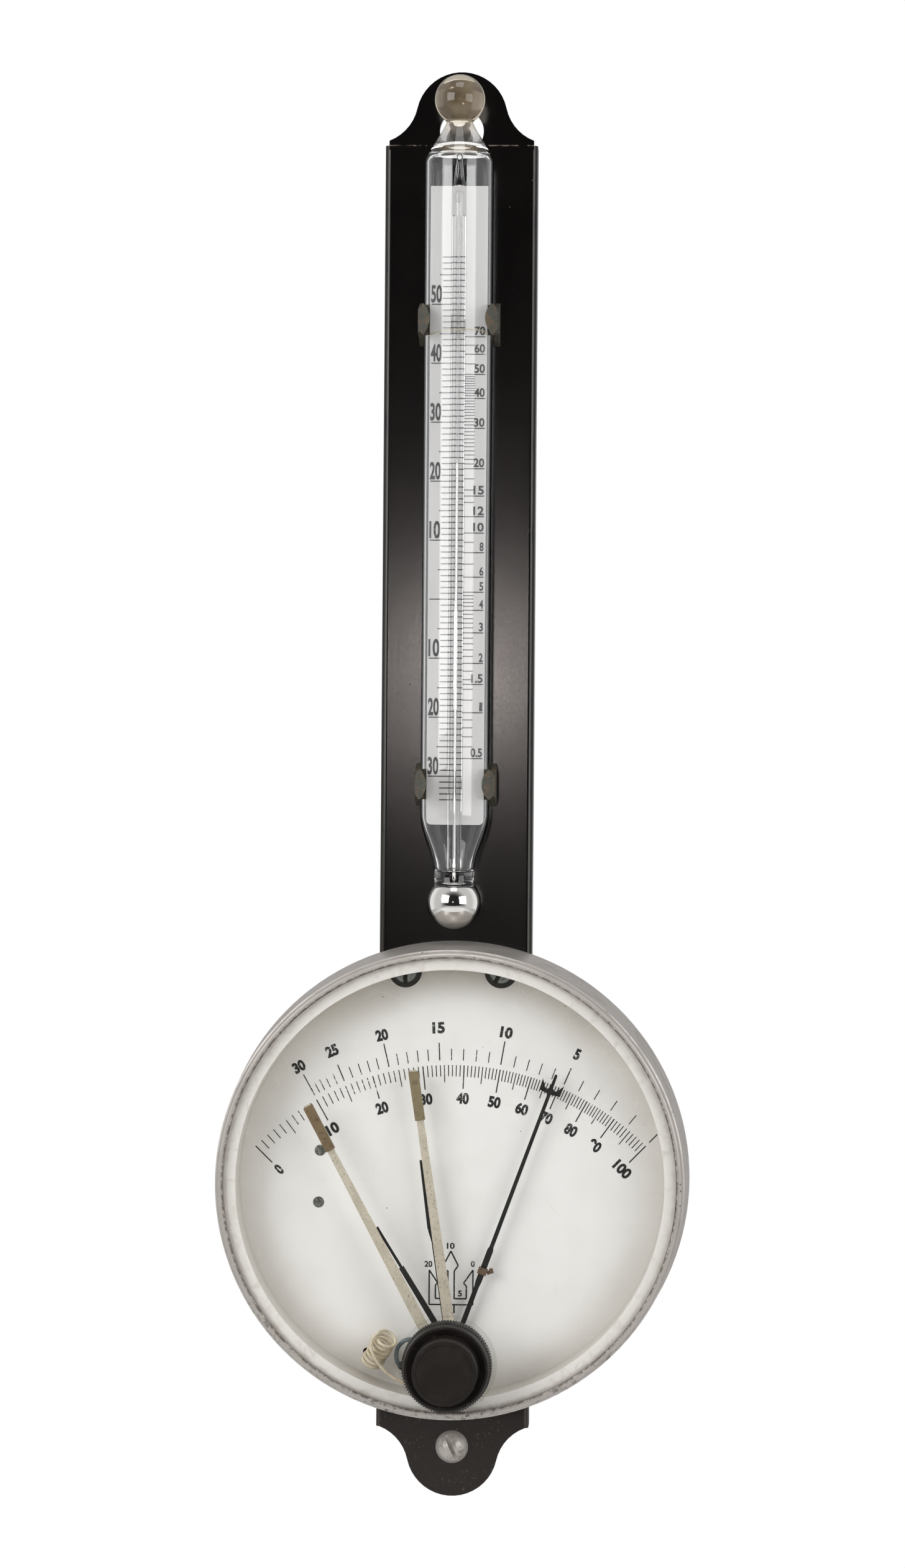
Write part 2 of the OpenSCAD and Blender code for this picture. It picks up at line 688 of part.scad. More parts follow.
module feeler_hook() {
  // A bent tab wrapped on the arm, which the fingers meet
  hook_r = 21.2;
  wall = 0.35;
  color("#7b6350")
  at_pivot(arm_h) rotate(-pointer_angle) translate([0, hook_r, 0]) {
    difference() {
      translate([-0.72 - wall, -0.8, -wall]) cube([1.44 + 2 * wall, 1.6, arm_t + 2 * wall]);
      translate([-0.72, -0.8 - cut, -0.02]) cube([1.44, 1.6 + 2 * cut, arm_t + 0.04]);
    }
    translate([1.4, -0.4, 0]) rotate(40) cube([1.5, 0.8, 0.5]);
    translate([1.75, 0.9, 0.25]) cylinder(r = 0.5, h = 0.9);
  }
}

// Setting hands: the low one turns with the knurled knob, the high one with the cap
outer_in_r = inner_shaft_r + run_gap;
outer_r = outer_in_r + outer_shaft_wall;
hub_r = 3.6;
high_h = dial_h + 4.9;
low_h = dial_h + 7.4;
hub_t = 1.7;
high_offset = 1.1;
low_offset = -1.6;
finger_t = 0.4;
finger_drop = 0.7;
bend_at = 9.5;
module hand_strip(h, offset) {
  // Straight strip, bent up to its hub, tapering towards the end
  rise = 0.55;
  end_w = hand_w * 0.52;
  intersection() {
    translate([offset - hand_w / 2, 0, h]) rotate([90, 0, 90]) linear_extrude(hand_w)
      polygon([[2.2, rise], [bend_at - 2, rise], [bend_at, 0], [hand_l, 0], [hand_l, hand_t],
               [bend_at, hand_t], [bend_at - 2, rise + hand_t], [2.2, rise + hand_t]]);
    difference() {
      translate([0, 0, h - 1]) linear_extrude(4)
        polygon([[offset - hand_w / 2, 0], [offset + hand_w / 2, 0],
                 [offset + end_w / 2, hand_l], [offset - end_w / 2, hand_l]]);
      translate([0, 0, h - 2]) cylinder(r = hub_r + seat, h = 6);
    }
  }
}
module sleeve(h, offset) {
  // Contact sleeve folded round the end of a hand
  wall = 0.3;
  inner_w = hand_w * 0.62;
  slack = 0.05;
  difference() {
    translate([offset - inner_w / 2 - wall, hand_l - sleeve_l, h - wall - slack])
      cube([inner_w + 2 * wall, sleeve_l - 0.4, hand_t + 2 * (wall + slack)]);
    translate([offset - inner_w / 2, hand_l - sleeve_l - cut, h - slack])
      cube([inner_w, sleeve_l + 2 * cut, hand_t + 2 * slack]);
  }
}
module finger_plan(a, x, wide_l, reach) {
  // Black contact finger: a wide strip from the hub and a thin spring beyond it
  rotate(-a) translate([x, 0])
    polygon([[-0.75, hub_r - 1.35], [0.7, hub_r - 1.35], [0.6, wide_l], [0.32, wide_l],
             [0.3, reach], [-0.3, reach], [-0.32, wide_l], [-0.6, wide_l]]);
}
module side_finger_plan(a, wide_l, reach) {
  // The same under its hand: the spring leaves the strip's left edge
  rotate(-a) {
    polygon([[-0.4, hub_r - 0.6], [0.9, hub_r - 0.6], [0.7, wide_l], [-0.6, wide_l],
             [-0.7, wide_l - 2], [-0.3, wide_l - 4.5]]);
    polygon([[-0.8, wide_l - 1.5], [0, wide_l - 1.5], [0.24, reach], [-0.4, reach]]);
  }
}
module finger_blank(h, bore) {
  // A finger and the disc that holds it under the hub, cut from one sheet
  at_pivot(h) linear_extrude(finger_t) difference() {
    union() {
      circle(r = hub_r);
      children();
    }
    circle(r = bore);
  }
}
module hub(h, bore) { translate([0, 0, h]) tube(hub_r, bore, hub_t); }
low_finger_l = [23.7, 34.4];
high_finger_l = [31.5, 45.8];
module outer_shaft() {
  color("#b79f63")
  at_pivot(low_h - finger_drop) tube(outer_r, outer_in_r, knob_base + knob_h - 2.6 - low_h + finger_drop);
}
module low_hub() {
  color("#b7ac93")
  at_pivot(0) hub(low_h - finger_drop + finger_t + seat, outer_r + seat);
}
module low_hand() {
  color("#c8bfae")
  at_pivot(0) rotate(-low_angle) hand_strip(low_h, low_offset);
}
module low_finger() {
  color("#161514")
  finger_blank(low_h - finger_drop, outer_r + seat)
    finger_plan(low_angle - 3.7, 1.73, low_finger_l[0], low_finger_l[1]);
}
module low_sleeve() {
  color("#8b7a55")
  at_pivot(0) rotate(-low_angle) sleeve(low_h, low_offset);
}
module high_hub() {
  color("#b7ac93")
  at_pivot(0) hub(high_h - finger_drop + finger_t + seat, inner_shaft_r + seat);
}
module high_hand() {
  color("#c8bfae")
  at_pivot(0) rotate(-high_angle) hand_strip(high_h, high_offset);
}
module high_finger() {
  color("#161514")
  finger_blank(high_h - finger_drop, inner_shaft_r + seat)
    side_finger_plan(high_angle, high_finger_l[0], high_finger_l[1]);
}
module high_sleeve() {
  color("#8b7a55")
  at_pivot(0) rotate(-high_angle) sleeve(high_h, high_offset);
}
module inner_shaft() {
  color("#b79f63")
  at_pivot(high_h - finger_drop)
    cylinder(r = inner_shaft_r, h = cap_base + cap_h - 3 - high_h + finger_drop);
}

// Crystal fittings and knobs
flange_t = 0.5;
flange_r = 4.8;
washer_r = knob_r + 1;
washer_t = 0.4;
knob_base = crystal_h + crystal_t + flange_t + 0.3;
cap_base = knob_base + knob_h + 0.15;
module crystal_bush() {
  color("#b79f63")
  at_pivot(crystal_h - 1.2) {
    tube(bush_r, outer_r + run_gap, crystal_t + 1.2 + flange_t);
    translate([0, 0, 1.2 + crystal_t]) tube(flange_r, outer_r + run_gap, flange_t);
  }
}
module bush_nut() {
  color("#b79f63")
  at_pivot(crystal_h - 1.1) difference() {
    cylinder(r = 5, h = 1.1, $fn = 6);
    translate([0, 0, -cut]) cylinder(r = bush_r + seat, h = 1.1 + 2 * cut);
  }
}
module knob_washer() {
  color("#d9dcda", 0.5)
  at_pivot(crystal_h + crystal_t) tube(washer_r, flange_r + seat, washer_t);
}
function knurl_points(r, depth, n) =
  [for (i = [0:2 * n - 1]) let (a = 180 * i / n, q = r - (i % 2) * depth) [q * sin(a), q * cos(a)]];
module knurled_knob() {
  band = knob_h * 0.72;
  face_r = knob_r - 0.75;
  color("#211c19")
  at_pivot(knob_base) difference() {
    union() {
      linear_extrude(band) polygon(knurl_points(knob_r, 0.3, knurl_n));
      translate([0, 0, band - 0.01])
        cylinder(r1 = knob_r - 0.25, r2 = face_r, h = knob_h - band + 0.01);
    }
    // shallow dish round the cap
    translate([0, 0, knob_h - 0.9]) cylinder(r1 = cap_r + 0.2, r2 = face_r - 0.5, h = 0.91);
    translate([0, 0, -cut]) cylinder(r = outer_r + seat, h = knob_h - 2.6 + cut + seat);
    translate([0, 0, -cut]) cylinder(r = outer_in_r, h = knob_h + 2 * cut);
  }
}
module cap_knob() {
  color("#2b2421")
  at_pivot(cap_base - 0.75) difference() {
    rotate_extrude() polygon([
      [0, 0], [cap_r - 0.15, 0], [cap_r, 0.3], [cap_r, cap_h + 0.25], [cap_r - 0.5, cap_h + 0.75],
      [cap_r - 0.9, cap_h + 0.75], [cap_r - 1, cap_h + 0.6], [0, cap_h + 0.6]]);
    translate([0, 0, -cut]) cylinder(r = inner_shaft_r + seat, h = cap_h + 0.75 - 3 + cut + seat);
  }
}

// Leads: tubes swept along a route of points [x, z, height] from the axis on the dial's face
function unit(v) = v / norm(v);
function square_to(n, t) = unit(n - (n * t) * t);
function tangents(p) =
  [for (i = [0:len(p) - 1]) unit(p[min(i + 1, len(p) - 1)] - p[max(i - 1, 0)])];
function sides_of(t) =
  [for (i = 0, n = square_to([0.31, 0.2, 0.93], t[0]); i < len(t);
        i = i + 1, n = i < len(t) ? square_to(n, t[i]) : n) n];
function rings(p, r, k) =
  let (t = tangents(p), n = sides_of(t))
  [for (i = [0:len(p) - 1], a = [0:k - 1])
    p[i] + r * (cos(360 * a / k) * n[i] + sin(360 * a / k) * cross(t[i], n[i]))];
function skin(m, k) = concat(
  [for (i = [0:m - 2], a = [0:k - 1]) [i * k + a, i * k + (a + 1) % k, (i + 1) * k + a]],
  [for (i = [0:m - 2], a = [0:k - 1])
    [i * k + (a + 1) % k, (i + 1) * k + (a + 1) % k, (i + 1) * k + a]],
  [for (a = [1:k - 2]) [0, a + 1, a]],
  [for (a = [1:k - 2]) [(m - 1) * k, (m - 1) * k + a, (m - 1) * k + a + 1]]);
module swept(p, d, k) {
  polyhedron(points = rings(p, d / 2, k), faces = [for (f = skin(len(p), k)) [f[0], f[2], f[1]]]);
}
// Least distance between stretches of a route that are further apart along it than near
function least_gap(p, near, d) = min([for (i = [0:len(p) - 1])
  min([for (j = [i:len(p) - 1]) j - i > near ? norm(p[i] - p[j]) : 99])]) - d;

white_hole = [-19.2, 0.8];
blue_hole = [-11.2, -2.4];
coil_top = [-14, 5, 7.1];
coil_foot = [-18, -1.2, 2.9];
coil_axis = unit(coil_foot - coil_top);
coil_e1 = square_to([-0.8, 0.6, 0], coil_axis);
coil_e2 = cross(coil_axis, coil_e1);
curl_rings = 8;
coil_points = [for (i = [0:curl_rings * coil_turns]) let (a = 360 * i / curl_rings)
  coil_top + coil_axis * coil_pitch * i / curl_rings
  + coil_r * (cos(a) * coil_e1 + sin(a) * coil_e2)];
white_route = concat(
  [[-3.18, -2.89, 7.6], [-3.8, -3.45, 7.6], [-4.8, -4.3, 7.6], [-6.4, -5.2, 7.7],
   [-8.6, -5.6, 7.9], [-10.8, -4.9, 8.2], [-13, -3.6, 8.5], [-15, -1.9, 8.9], [-16.6, 0.2, 9.2],
   [-17.6, 2.4, 9.3], [-17.6, 4.3, 9.1], [-16.9, 5.5, 8.4], [-16.2, 5.95, 7.8]],
  coil_points,
  [[-19.5, 0.5, 2], [-19.3, 0.7, 1.1], [-19.2, 0.8, 0.2], [-19.2, 0.8, -1.1],
   [-19.2, 0.8, terminal_h - dial_h]]);
blue_route = [
  [-3.93, 2.1, 5.4], [-4.9, 2.65, 5.4], [-6.2, 3.5, 5.3], [-8, 4.3, 5.2], [-10.2, 4.1, 4.9],
  [-11.8, 2.4, 4.5], [-12.2, 0.2, 3.8], [-11.9, -1.4, 2.6], [-11.4, -2.2, 1.4],
  [-11.2, -2.4, 0.3], [-11.2, -2.4, -1.1], [-11.2, -2.4, terminal_h - dial_h]];
echo("least gap of the white lead to itself", least_gap(white_route, 5, white_d));
module white_lead() {
  color("#d8ccb2")
  at_pivot(dial_h) swept(white_route, white_d, 6);
}
module blue_lead() {
  color("#56626a")
  at_pivot(dial_h) swept(blue_route, blue_d, 8);
}

back_plate();
lower_screw();
lower_spacer();
upper_clip();
lower_clip();
clip_rivets();
glass_jacket();
scale_support();
scale_strip();
capillary();
mercury();
tie_wire();
case_cup();
case_screws();
case_nuts();
inner_ring();
bezel();
crystal();
dial();
shelf_ring();
dial_screws();
dial_feet();
movement_plate();
movement_screws();
upper_cock();
cock_posts();
hair_bundle();
hair_clamp();
hair_adjuster();
terminal_block();
pointer_spindle();
hair_drum();
balance_weight();
pointer_arm();
pointer_needle();
feeler_hook();
outer_shaft();
low_hub();
low_hand();
low_finger();
low_sleeve();
knurled_knob();
inner_shaft();
high_hub();
high_hand();
high_finger();
high_sleeve();
cap_knob();
crystal_bush();
bush_nut();
knob_washer();
white_lead();
blue_lead();
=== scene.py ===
import math

import bmesh
import bpy
from mathutils import Matrix, Vector


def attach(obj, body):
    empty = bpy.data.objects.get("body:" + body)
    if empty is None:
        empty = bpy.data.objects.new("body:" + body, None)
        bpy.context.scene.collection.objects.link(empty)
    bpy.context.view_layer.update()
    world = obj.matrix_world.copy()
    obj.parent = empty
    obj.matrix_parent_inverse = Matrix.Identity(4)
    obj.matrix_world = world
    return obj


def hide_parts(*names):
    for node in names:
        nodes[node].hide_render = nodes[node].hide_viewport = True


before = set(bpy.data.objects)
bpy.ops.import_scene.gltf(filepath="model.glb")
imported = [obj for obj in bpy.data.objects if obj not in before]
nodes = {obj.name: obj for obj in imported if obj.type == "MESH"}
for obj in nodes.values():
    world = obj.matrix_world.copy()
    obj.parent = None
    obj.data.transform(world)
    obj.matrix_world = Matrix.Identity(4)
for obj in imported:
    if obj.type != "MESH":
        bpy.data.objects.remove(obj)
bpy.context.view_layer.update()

# Sizes in millimetres, as in the part: z is up, and a height h is a distance towards the viewer
mm = 0.001
pivotZ = -282.7
caseZ = -242.3
dialH = 10.5
tubeH = 10.0
print("frame loaded,", len(nodes), "nodes")


def at(x, z, h):
    return Vector((x, -h, z)) * mm


printCentre = (0.12, pivotZ + 3.4)  # the print's arcs have their centre above the hands' axis


def around(angle, radius):
    # a place [x, z] on the dial
    turn = math.radians(angle)
    return (printCentre[0] + radius * math.sin(turn), printCentre[1] + radius * math.cos(turn))


# Num wraps a socket, so that masks read as plain expressions
class Num:
    def __init__(self, finish, socket):
        self.finish, self.socket = finish, socket

    def math(self, operation, *others, clamp=False):
        values = {index + 1: other for index, other in enumerate(others)}
        made = self.finish.node("Math", {"operation": operation, "use_clamp": clamp}, {0: self, **values})
        return Num(self.finish, made.outputs[0])

    def flipped(self, operation, other):
        made = self.finish.node("Math", {"operation": operation}, {0: other, 1: self})
        return Num(self.finish, made.outputs[0])

    def __add__(self, other): return self.math("ADD", other)
    def __radd__(self, other): return self.math("ADD", other)
    def __sub__(self, other): return self.math("SUBTRACT", other)
    def __rsub__(self, other): return self.flipped("SUBTRACT", other)
    def __mul__(self, other): return self.math("MULTIPLY", other)
    def __rmul__(self, other): return self.math("MULTIPLY", other)
    def __pow__(self, other): return self.math("POWER", other)
    def __abs__(self): return self.math("ABSOLUTE")

    def step(self, low, high, start=0.0, end=1.0):
        # smooth change from start to end as this goes from low to high
        made = self.finish.node("MapRange", {"interpolation_type": "SMOOTHSTEP"},
                                {"Value": self, "From Min": low, "From Max": high, "To Min": start, "To Max": end})
        return Num(self.finish, made.outputs[0])

    def most(self, other): return self.math("MAXIMUM", other)


class Finish:
    def __init__(self, name):
        self.material = bpy.data.materials.new(name)
        self.material.use_nodes = True
        self.tree = self.material.node_tree
        self.tree.nodes.clear()
        self.output = self.tree.nodes.new("ShaderNodeOutputMaterial")
        self.place = self.node("TexCoord").outputs["Object"]
        self.normal = None

    def node(self, kind, settings=None, values=None):
        made = self.tree.nodes.new("ShaderNode" + kind)
        for key, value in (settings or {}).items():
            if key == "stops":
                ramp = made.color_ramp
                while len(ramp.elements) < len(value):
                    ramp.elements.new(0.5)
                for element, (position, colour) in zip(ramp.elements, value):
                    element.position, element.color = position, (*colour, 1)
            else:
                setattr(made, key, value)
        for key, value in (values or {}).items():
            self.feed(made.inputs[key], value)
        return made

    def feed(self, socket, value):
        if isinstance(value, Num):
            value = value.socket
        if isinstance(value, bpy.types.NodeSocket):
            self.tree.links.new(value, socket)
        elif isinstance(value, tuple) and len(value) == 3 and socket.type == "RGBA":
            socket.default_value = (*value, 1)
        else:
            socket.default_value = value

    def axes(self):
        # object coordinates in millimetres
        split = self.node("SeparateXYZ", values={0: self.place})
        return [Num(self, split.outputs[i]) * 1000.0 for i in range(3)]

    def moved(self, stretch, turn=(0, 0, 0)):
        made = self.node("Mapping", values={"Vector": self.place, "Scale": stretch, "Rotation": turn})
        return made.outputs[0]

    def noise(self, size, detail=3.0, rough=0.55, stretch=None, warp=0.0):
        # size is the grain in millimetres
        made = self.node("TexNoise", values={
            "Vector": self.moved(stretch) if stretch else self.place,
            "Scale": 1000.0 / size, "Detail": detail, "Roughness": rough, "Distortion": warp})
        return Num(self, made.outputs[0])

    def cells(self, size, feature="F1", stretch=None, scatter=1.0):
        made = self.node("TexVoronoi", {"feature": feature}, {
            "Vector": self.moved(stretch) if stretch else self.place,
            "Scale": 1000.0 / size, "Randomness": scatter})
        return Num(self, made.outputs[0])

    def blend(self, share, first, second):
        made = self.node("Mix", {"data_type": "RGBA", "clamp_factor": True}, {0: share, 6: first, 7: second})
        return made.outputs[2]

    def bump(self, height, depth, strength=1.0):
        # depth in millimetres
        values = {"Height": height, "Distance": depth * mm, "Strength": strength}
        if self.normal:
            values["Normal"] = self.normal
        self.normal = self.node("Bump", values=values).outputs[0]

    def surface(self, **values):
        shader = self.node("BsdfPrincipled", values={key.replace("_", " "): value for key, value in values.items()})
        if self.normal:
            self.tree.links.new(self.normal, shader.inputs["Normal"])
        return shader.outputs[0]

    def done(self, shader):
        self.tree.links.new(shader, self.output.inputs["Surface"])
        return self.material


plateLook = {"black": (0.0028, 0.0024, 0.0023), "brown": (0.0050, 0.0040, 0.0035), "dry": (0.021, 0.0155, 0.0135),
             "wear": (0.22, 0.18, 0.14), "rough": 0.10, "edgeX": 17.05, "creaseZ": -3.3, "tailZ": (-300.0, -292.0)}


def plateFinish():
    look = plateLook
    f = Finish("plateBlack")
    x, y, z = f.axes()
    grain = f.noise(0.7, 3.0)
    cloud = f.noise(16.0, 3.0)
    colour = f.blend(cloud.step(0.45, 0.8), look["black"], look["brown"])
    # the lower tab is drier and rubbed tan in spots
    tail = z.step(*look["tailZ"], 1.0, 0.0)
    colour = f.blend(tail * 0.8, colour, look["dry"])
    rubbed = tail * f.noise(0.8, 4.0, 0.7).step(0.56, 0.70) * f.noise(6.0).step(0.42, 0.62)
    # a rubbed line just inside each long edge, broken up
    edge = 1.0 - abs(abs(x) - look["edgeX"]).step(0.05, 0.28)
    edge = edge * f.noise(3.5, 4.0, stretch=(1, 1, 0.4)).step(0.30, 0.50) * y.step(-2.0, 1.2, 1.0, 0.0)
    # the line where the upper tab meets the channel
    crease = 1.0 - abs(z - look["creaseZ"]).step(0.05, 0.22)
    crease = crease * f.noise(2.0, 3.0).step(0.42, 0.6) * (1.0 - abs(x).step(16.6, 17.2))
    scratch = 1.0 - f.cells(30.0, "DISTANCE_TO_EDGE", stretch=(1.0, 1.0, 0.3)).step(0.0, 0.004)
    scratch = scratch * f.noise(9.0).step(0.56, 0.7)
    speck = (1.0 - f.cells(3.1).step(0.035, 0.075)) * f.noise(5.0).step(0.53, 0.6)
    worn = edge.most(crease * 0.8).most(scratch * 0.15).most(speck * 0.4).most(rubbed * 0.7)
    colour = f.blend(worn * 0.7, colour, look["wear"])
    f.bump(grain, 0.006, 0.5)
    f.bump(f.noise(6.0), 0.02, 0.2)
    rough = look["rough"] + grain * 0.06 + cloud * 0.03 + worn * 0.2 + tail * 0.26
    return f.done(f.surface(Base_Color=colour, Roughness=rough, Specular_IOR_Level=0.38))


nickelLook = {"bright": (0.50, 0.465, 0.435), "dull": (0.37, 0.335, 0.305), "pit": (0.055, 0.038, 0.028),
              "rough": 0.36, "metallic": 0.5, "lipRadius": 51.35}


def nickelFinish(name="agedNickel", pits=1.0):
    look = nickelLook
    f = Finish(name)
    x, y, z = f.axes()
    up = z - caseZ
    radius = (x * x + up * up) ** 0.5
    haze = f.noise(7.0, 4.0, warp=0.6)
    fine = f.noise(0.5, 3.0)
    # brown pits gather in patches, dirt sits where the crystal meets the bezel
    patch = f.noise(11.0, 3.0).step(0.46, 0.66)
    pit = (1.0 - f.cells(1.5).step(0.10, 0.22)) * patch * f.noise(0.8).step(0.42, 0.55)
    lip = (radius - look["lipRadius"]).step(0.08, 0.75, 1.0, 0.0) * y.step(-24.0, -23.0, 1.0, 0.0)
    dirt = lip * f.noise(1.3, 4.0, 0.65).step(0.36, 0.58)
    # the lower half is worn through to a mottled brown
    low = up.step(-44.0, -6.0, 1.0, 0.0) * (radius - 50.0).step(1.0, 2.0)
    mottle = low * f.noise(1.4, 5.0, 0.7).step(0.50, 0.63) * f.noise(14.0).step(0.36, 0.56)
    brown = pit.most(dirt * 0.95).most(mottle * 0.8) * pits
    colour = f.blend(haze.step(0.42, 0.75) * 0.6, look["bright"], look["dull"])
    colour = f.blend(brown, colour, look["pit"])
    f.bump(fine, 0.010, 0.35)
    f.bump(brown, -0.04, 0.5)
    rough = look["rough"] + haze.step(0.4, 0.8) * 0.18 + brown * 0.5
    return f.done(f.surface(Base_Color=colour, Roughness=rough, Metallic=look["metallic"] - brown * 0.4))


# wall: the colour of a painted shade on the ring's inner wall
ringLook = {"pale": (0.86, 0.835, 0.81), "stain": (0.66, 0.62, 0.565), "wall": (0.66, 0.625, 0.58),
            "dirt": (0.33, 0.28, 0.22), "rough": 0.34}


def ringFinish():
    look = ringLook
    f = Finish("paleRing")
    x, y, z = f.axes()
    up = z - caseZ
    radius = (x * x + up * up) ** 0.5
    streak = f.noise(3.0, 4.0, stretch=(1.0, 0.15, 1.0), warp=1.2)
    colour = f.blend(streak.step(0.48, 0.74) * 0.55, look["pale"], look["stain"])
    # old dirt has crept in from the joint; the wall below is a painted shade, darker the further back it lies
    crept = (radius + f.noise(2.5, 4.0) * 1.2).step(51.0, 51.9)
    colour = f.blend(crept * 0.45, colour, look["dirt"])
    wall = (radius - 48.7).step(0.02, 0.10, 1.0, 0.0)
    colour = f.blend(wall * (y.step(-22.0, -12.0) * 0.4 + 0.6), colour, look["wall"])
    f.bump(streak, 0.03, 0.3)
    return f.done(f.surface(Base_Color=colour, Roughness=look["rough"] + streak * 0.15, Metallic=0.1))


# edge: the colour of a painted shade towards the dial's rim, also mixed faintly into random clouds
dialLook = {"centre": (0.86, 0.852, 0.84), "edge": (0.50, 0.46, 0.40), "crack": (0.93, 0.92, 0.89),
            "faint": (0.55, 0.54, 0.50), "speck": (0.16, 0.12, 0.08), "rough": 0.40}


def dialFinish():
    look = dialLook
    f = Finish("dialLacquer")
    x, _, z = f.axes()
    up = z - caseZ
    radius = (x * x + up * up) ** 0.5
    cloud = f.noise(22.0, 3.0)
    # painted shade: the dial darkens towards its rim, more towards the top, standing in for the shadow the ring casts
    shade = (radius + cloud * 8.0).step(43.0, 54.0) * (0.40 + up.step(0.0, 40.0) * 0.35)
    colour = f.blend(shade, look["centre"], look["edge"])
    colour = f.blend(f.noise(9.0, 4.0).step(0.45, 0.75) * 0.08, colour, look["edge"])
    # crazing of the lacquer: fine pale lines near the rim, faint ones elsewhere
    craze = (1.0 - f.cells(9.0, "DISTANCE_TO_EDGE").step(0.0, 0.010)) * f.noise(13.0).step(0.44, 0.62)
    fine = (1.0 - f.cells(3.6, "DISTANCE_TO_EDGE").step(0.0, 0.018)) * f.noise(10.0, warp=0.7).step(0.50, 0.64)
    cracks = craze.most(fine * 0.8)
    rim = (radius + cloud * 8.0).step(36.0, 46.0)
    colour = f.blend(cracks * (1.0 - rim) * 0.14, colour, look["faint"])
    colour = f.blend(cracks * rim * 0.5, colour, look["crack"])
    speck = (1.0 - f.cells(4.2).step(0.022, 0.05)) * f.noise(8.0).step(0.47, 0.6)
    dust = (1.0 - f.cells(1.7).step(0.03, 0.07)) * f.noise(14.0).step(0.55, 0.66)
    colour = f.blend(speck.most(dust * 0.6) * 0.85, colour, look["speck"])
    f.bump(cracks, -0.02, 0.35)
    f.bump(f.noise(0.35, 2.0), 0.01, 0.3)
    rough = look["rough"] + cloud * 0.1
    return f.done(f.surface(Base_Color=colour, Roughness=rough, Specular_IOR_Level=0.3))


def printFinish(name, ink, wear, grain=0.5):
    # ink that has rubbed off in spots: its alpha follows the wear
    f = Finish(name)
    rub = f.noise(grain, 3.0, 0.65) * 0.7 + f.noise(12.0, 2.0) * 0.3
    alpha = 1.0 - rub.step(0.62 - wear, 0.70 - wear)
    colour = f.blend(f.noise(6.0).step(0.5, 0.75) * 0.5, ink, tuple(c + 0.06 for c in ink))
    return f.done(f.surface(Base_Color=colour, Roughness=0.6, Alpha=alpha))


def metalFinish(name, base, spot, rough, metallic=0.9, spots=0.5, grain=0.9, bump=0.02, lines=None, slotH=None):
    # slotH: below this height lies a screw's slot, painted near black as a painted shade
    f = Finish(name)
    cloud = f.noise(4.0, 4.0, stretch=lines)
    tarnish = f.noise(grain, 4.0, 0.65).step(0.62 - spots * 0.25, 0.80 - spots * 0.22)
    colour = f.blend(cloud.step(0.35, 0.75) * 0.45, base, tuple(c * 0.6 for c in base))
    colour = f.blend(tarnish * 0.85, colour, spot)
    if slotH:
        # painted shade: the inside of the slot is painted near black
        slotShade = (f.axes()[1] + slotH).step(-0.1, 0.1)
        colour = f.blend(slotShade * 0.95, colour, (0.012, 0.010, 0.008))
    f.bump(tarnish, -bump, 0.6)
    f.bump(f.noise(0.3, 2.0), bump * 0.4, 0.4)
    return f.done(f.surface(Base_Color=colour, Roughness=rough + tarnish * 0.3 + cloud * 0.1,
                            Metallic=metallic - tarnish * metallic * 0.7))


patinaLook = {"green": (0.085, 0.09, 0.075), "brown": (0.14, 0.105, 0.07), "crust": (0.30, 0.29, 0.24),
              "pit": (0.018, 0.016, 0.013)}


def patinaFinish():
    # cast-looking clips: grey-green and brown under a pale crust, with black pits
    look = patinaLook
    f = Finish("clipPatina")
    crust = f.noise(0.45, 5.0, 0.7)
    blotch = f.noise(2.2, 3.0)
    colour = f.blend(blotch.step(0.42, 0.62), look["green"], look["brown"])
    colour = f.blend(crust.step(0.55, 0.72) * 0.7, colour, look["crust"])
    colour = f.blend(1.0 - crust.step(0.30, 0.46), colour, look["pit"])
    f.bump(crust, 0.16, 0.8)
    return f.done(f.surface(Base_Color=colour, Roughness=0.42 + crust * 0.25, Metallic=0.45))


def mouldedFinish(name, base, rough, grain=0.3, dust=0.0, gloss=0.3, line=None):
    # line: radius of a fine turned line round the hands' axis, whose groove gets a painted shade
    f = Finish(name)
    cloud = f.noise(5.0, 3.0)
    colour = f.blend(cloud.step(0.4, 0.75) * 0.5, base, tuple(c * 1.6 + 0.004 for c in base))
    if dust:
        colour = f.blend(f.noise(0.7, 4.0).step(0.60, 0.72) * dust, colour, (0.32, 0.28, 0.23))
    f.bump(f.noise(grain, 3.0), 0.02, 0.4)
    if line:
        x, _, z = f.axes()
        up = z - pivotZ
        groove = 1.0 - abs((x * x + up * up) ** 0.5 - line).step(0.04, 0.16)
        # painted shade: the groove is painted darker than the rest of the cap
        colour = f.blend(groove * 0.8, colour, tuple(c * 0.3 for c in base))
        f.bump(groove, -0.08, 0.8)
    return f.done(f.surface(Base_Color=colour, Roughness=rough + cloud * 0.08, Specular_IOR_Level=gloss))


def glassFinish(name, tint=(1, 1, 1), amber=None, ior=1.48):
    # real glass for what the eye sees; shadow and bounced rays pass, so the scale inside is lit once
    # amber: heights from and to which it fades in, its tint, and its colour in the thick
    f = Finish(name)
    colour = tint
    if amber:
        low, high, amberTint, amberBody = amber
        fade = f.axes()[2].step(low, high)
        colour = f.blend(fade, tint, amberTint)
    glass = f.surface(Base_Color=colour, Roughness=0.0, IOR=ior, Transmission_Weight=1.0)
    clear = f.node("BsdfTransparent", values={"Color": (0.97, 0.97, 0.97)}).outputs[0]
    path = f.node("LightPath")
    passing = Num(f, path.outputs["Is Shadow Ray"]).most(path.outputs["Is Diffuse Ray"])
    if amber:
        body = f.surface(Base_Color=amberBody, Roughness=0.12, Specular_IOR_Level=0.5)
        share = fade * (0.10 + f.noise(6.0).step(0.4, 0.7) * 0.16)
        glass = f.node("MixShader", values={0: share, 1: glass, 2: body}).outputs[0]
    mixed = f.node("MixShader", values={0: passing, 1: glass, 2: clear})
    return f.done(mixed.outputs[0])


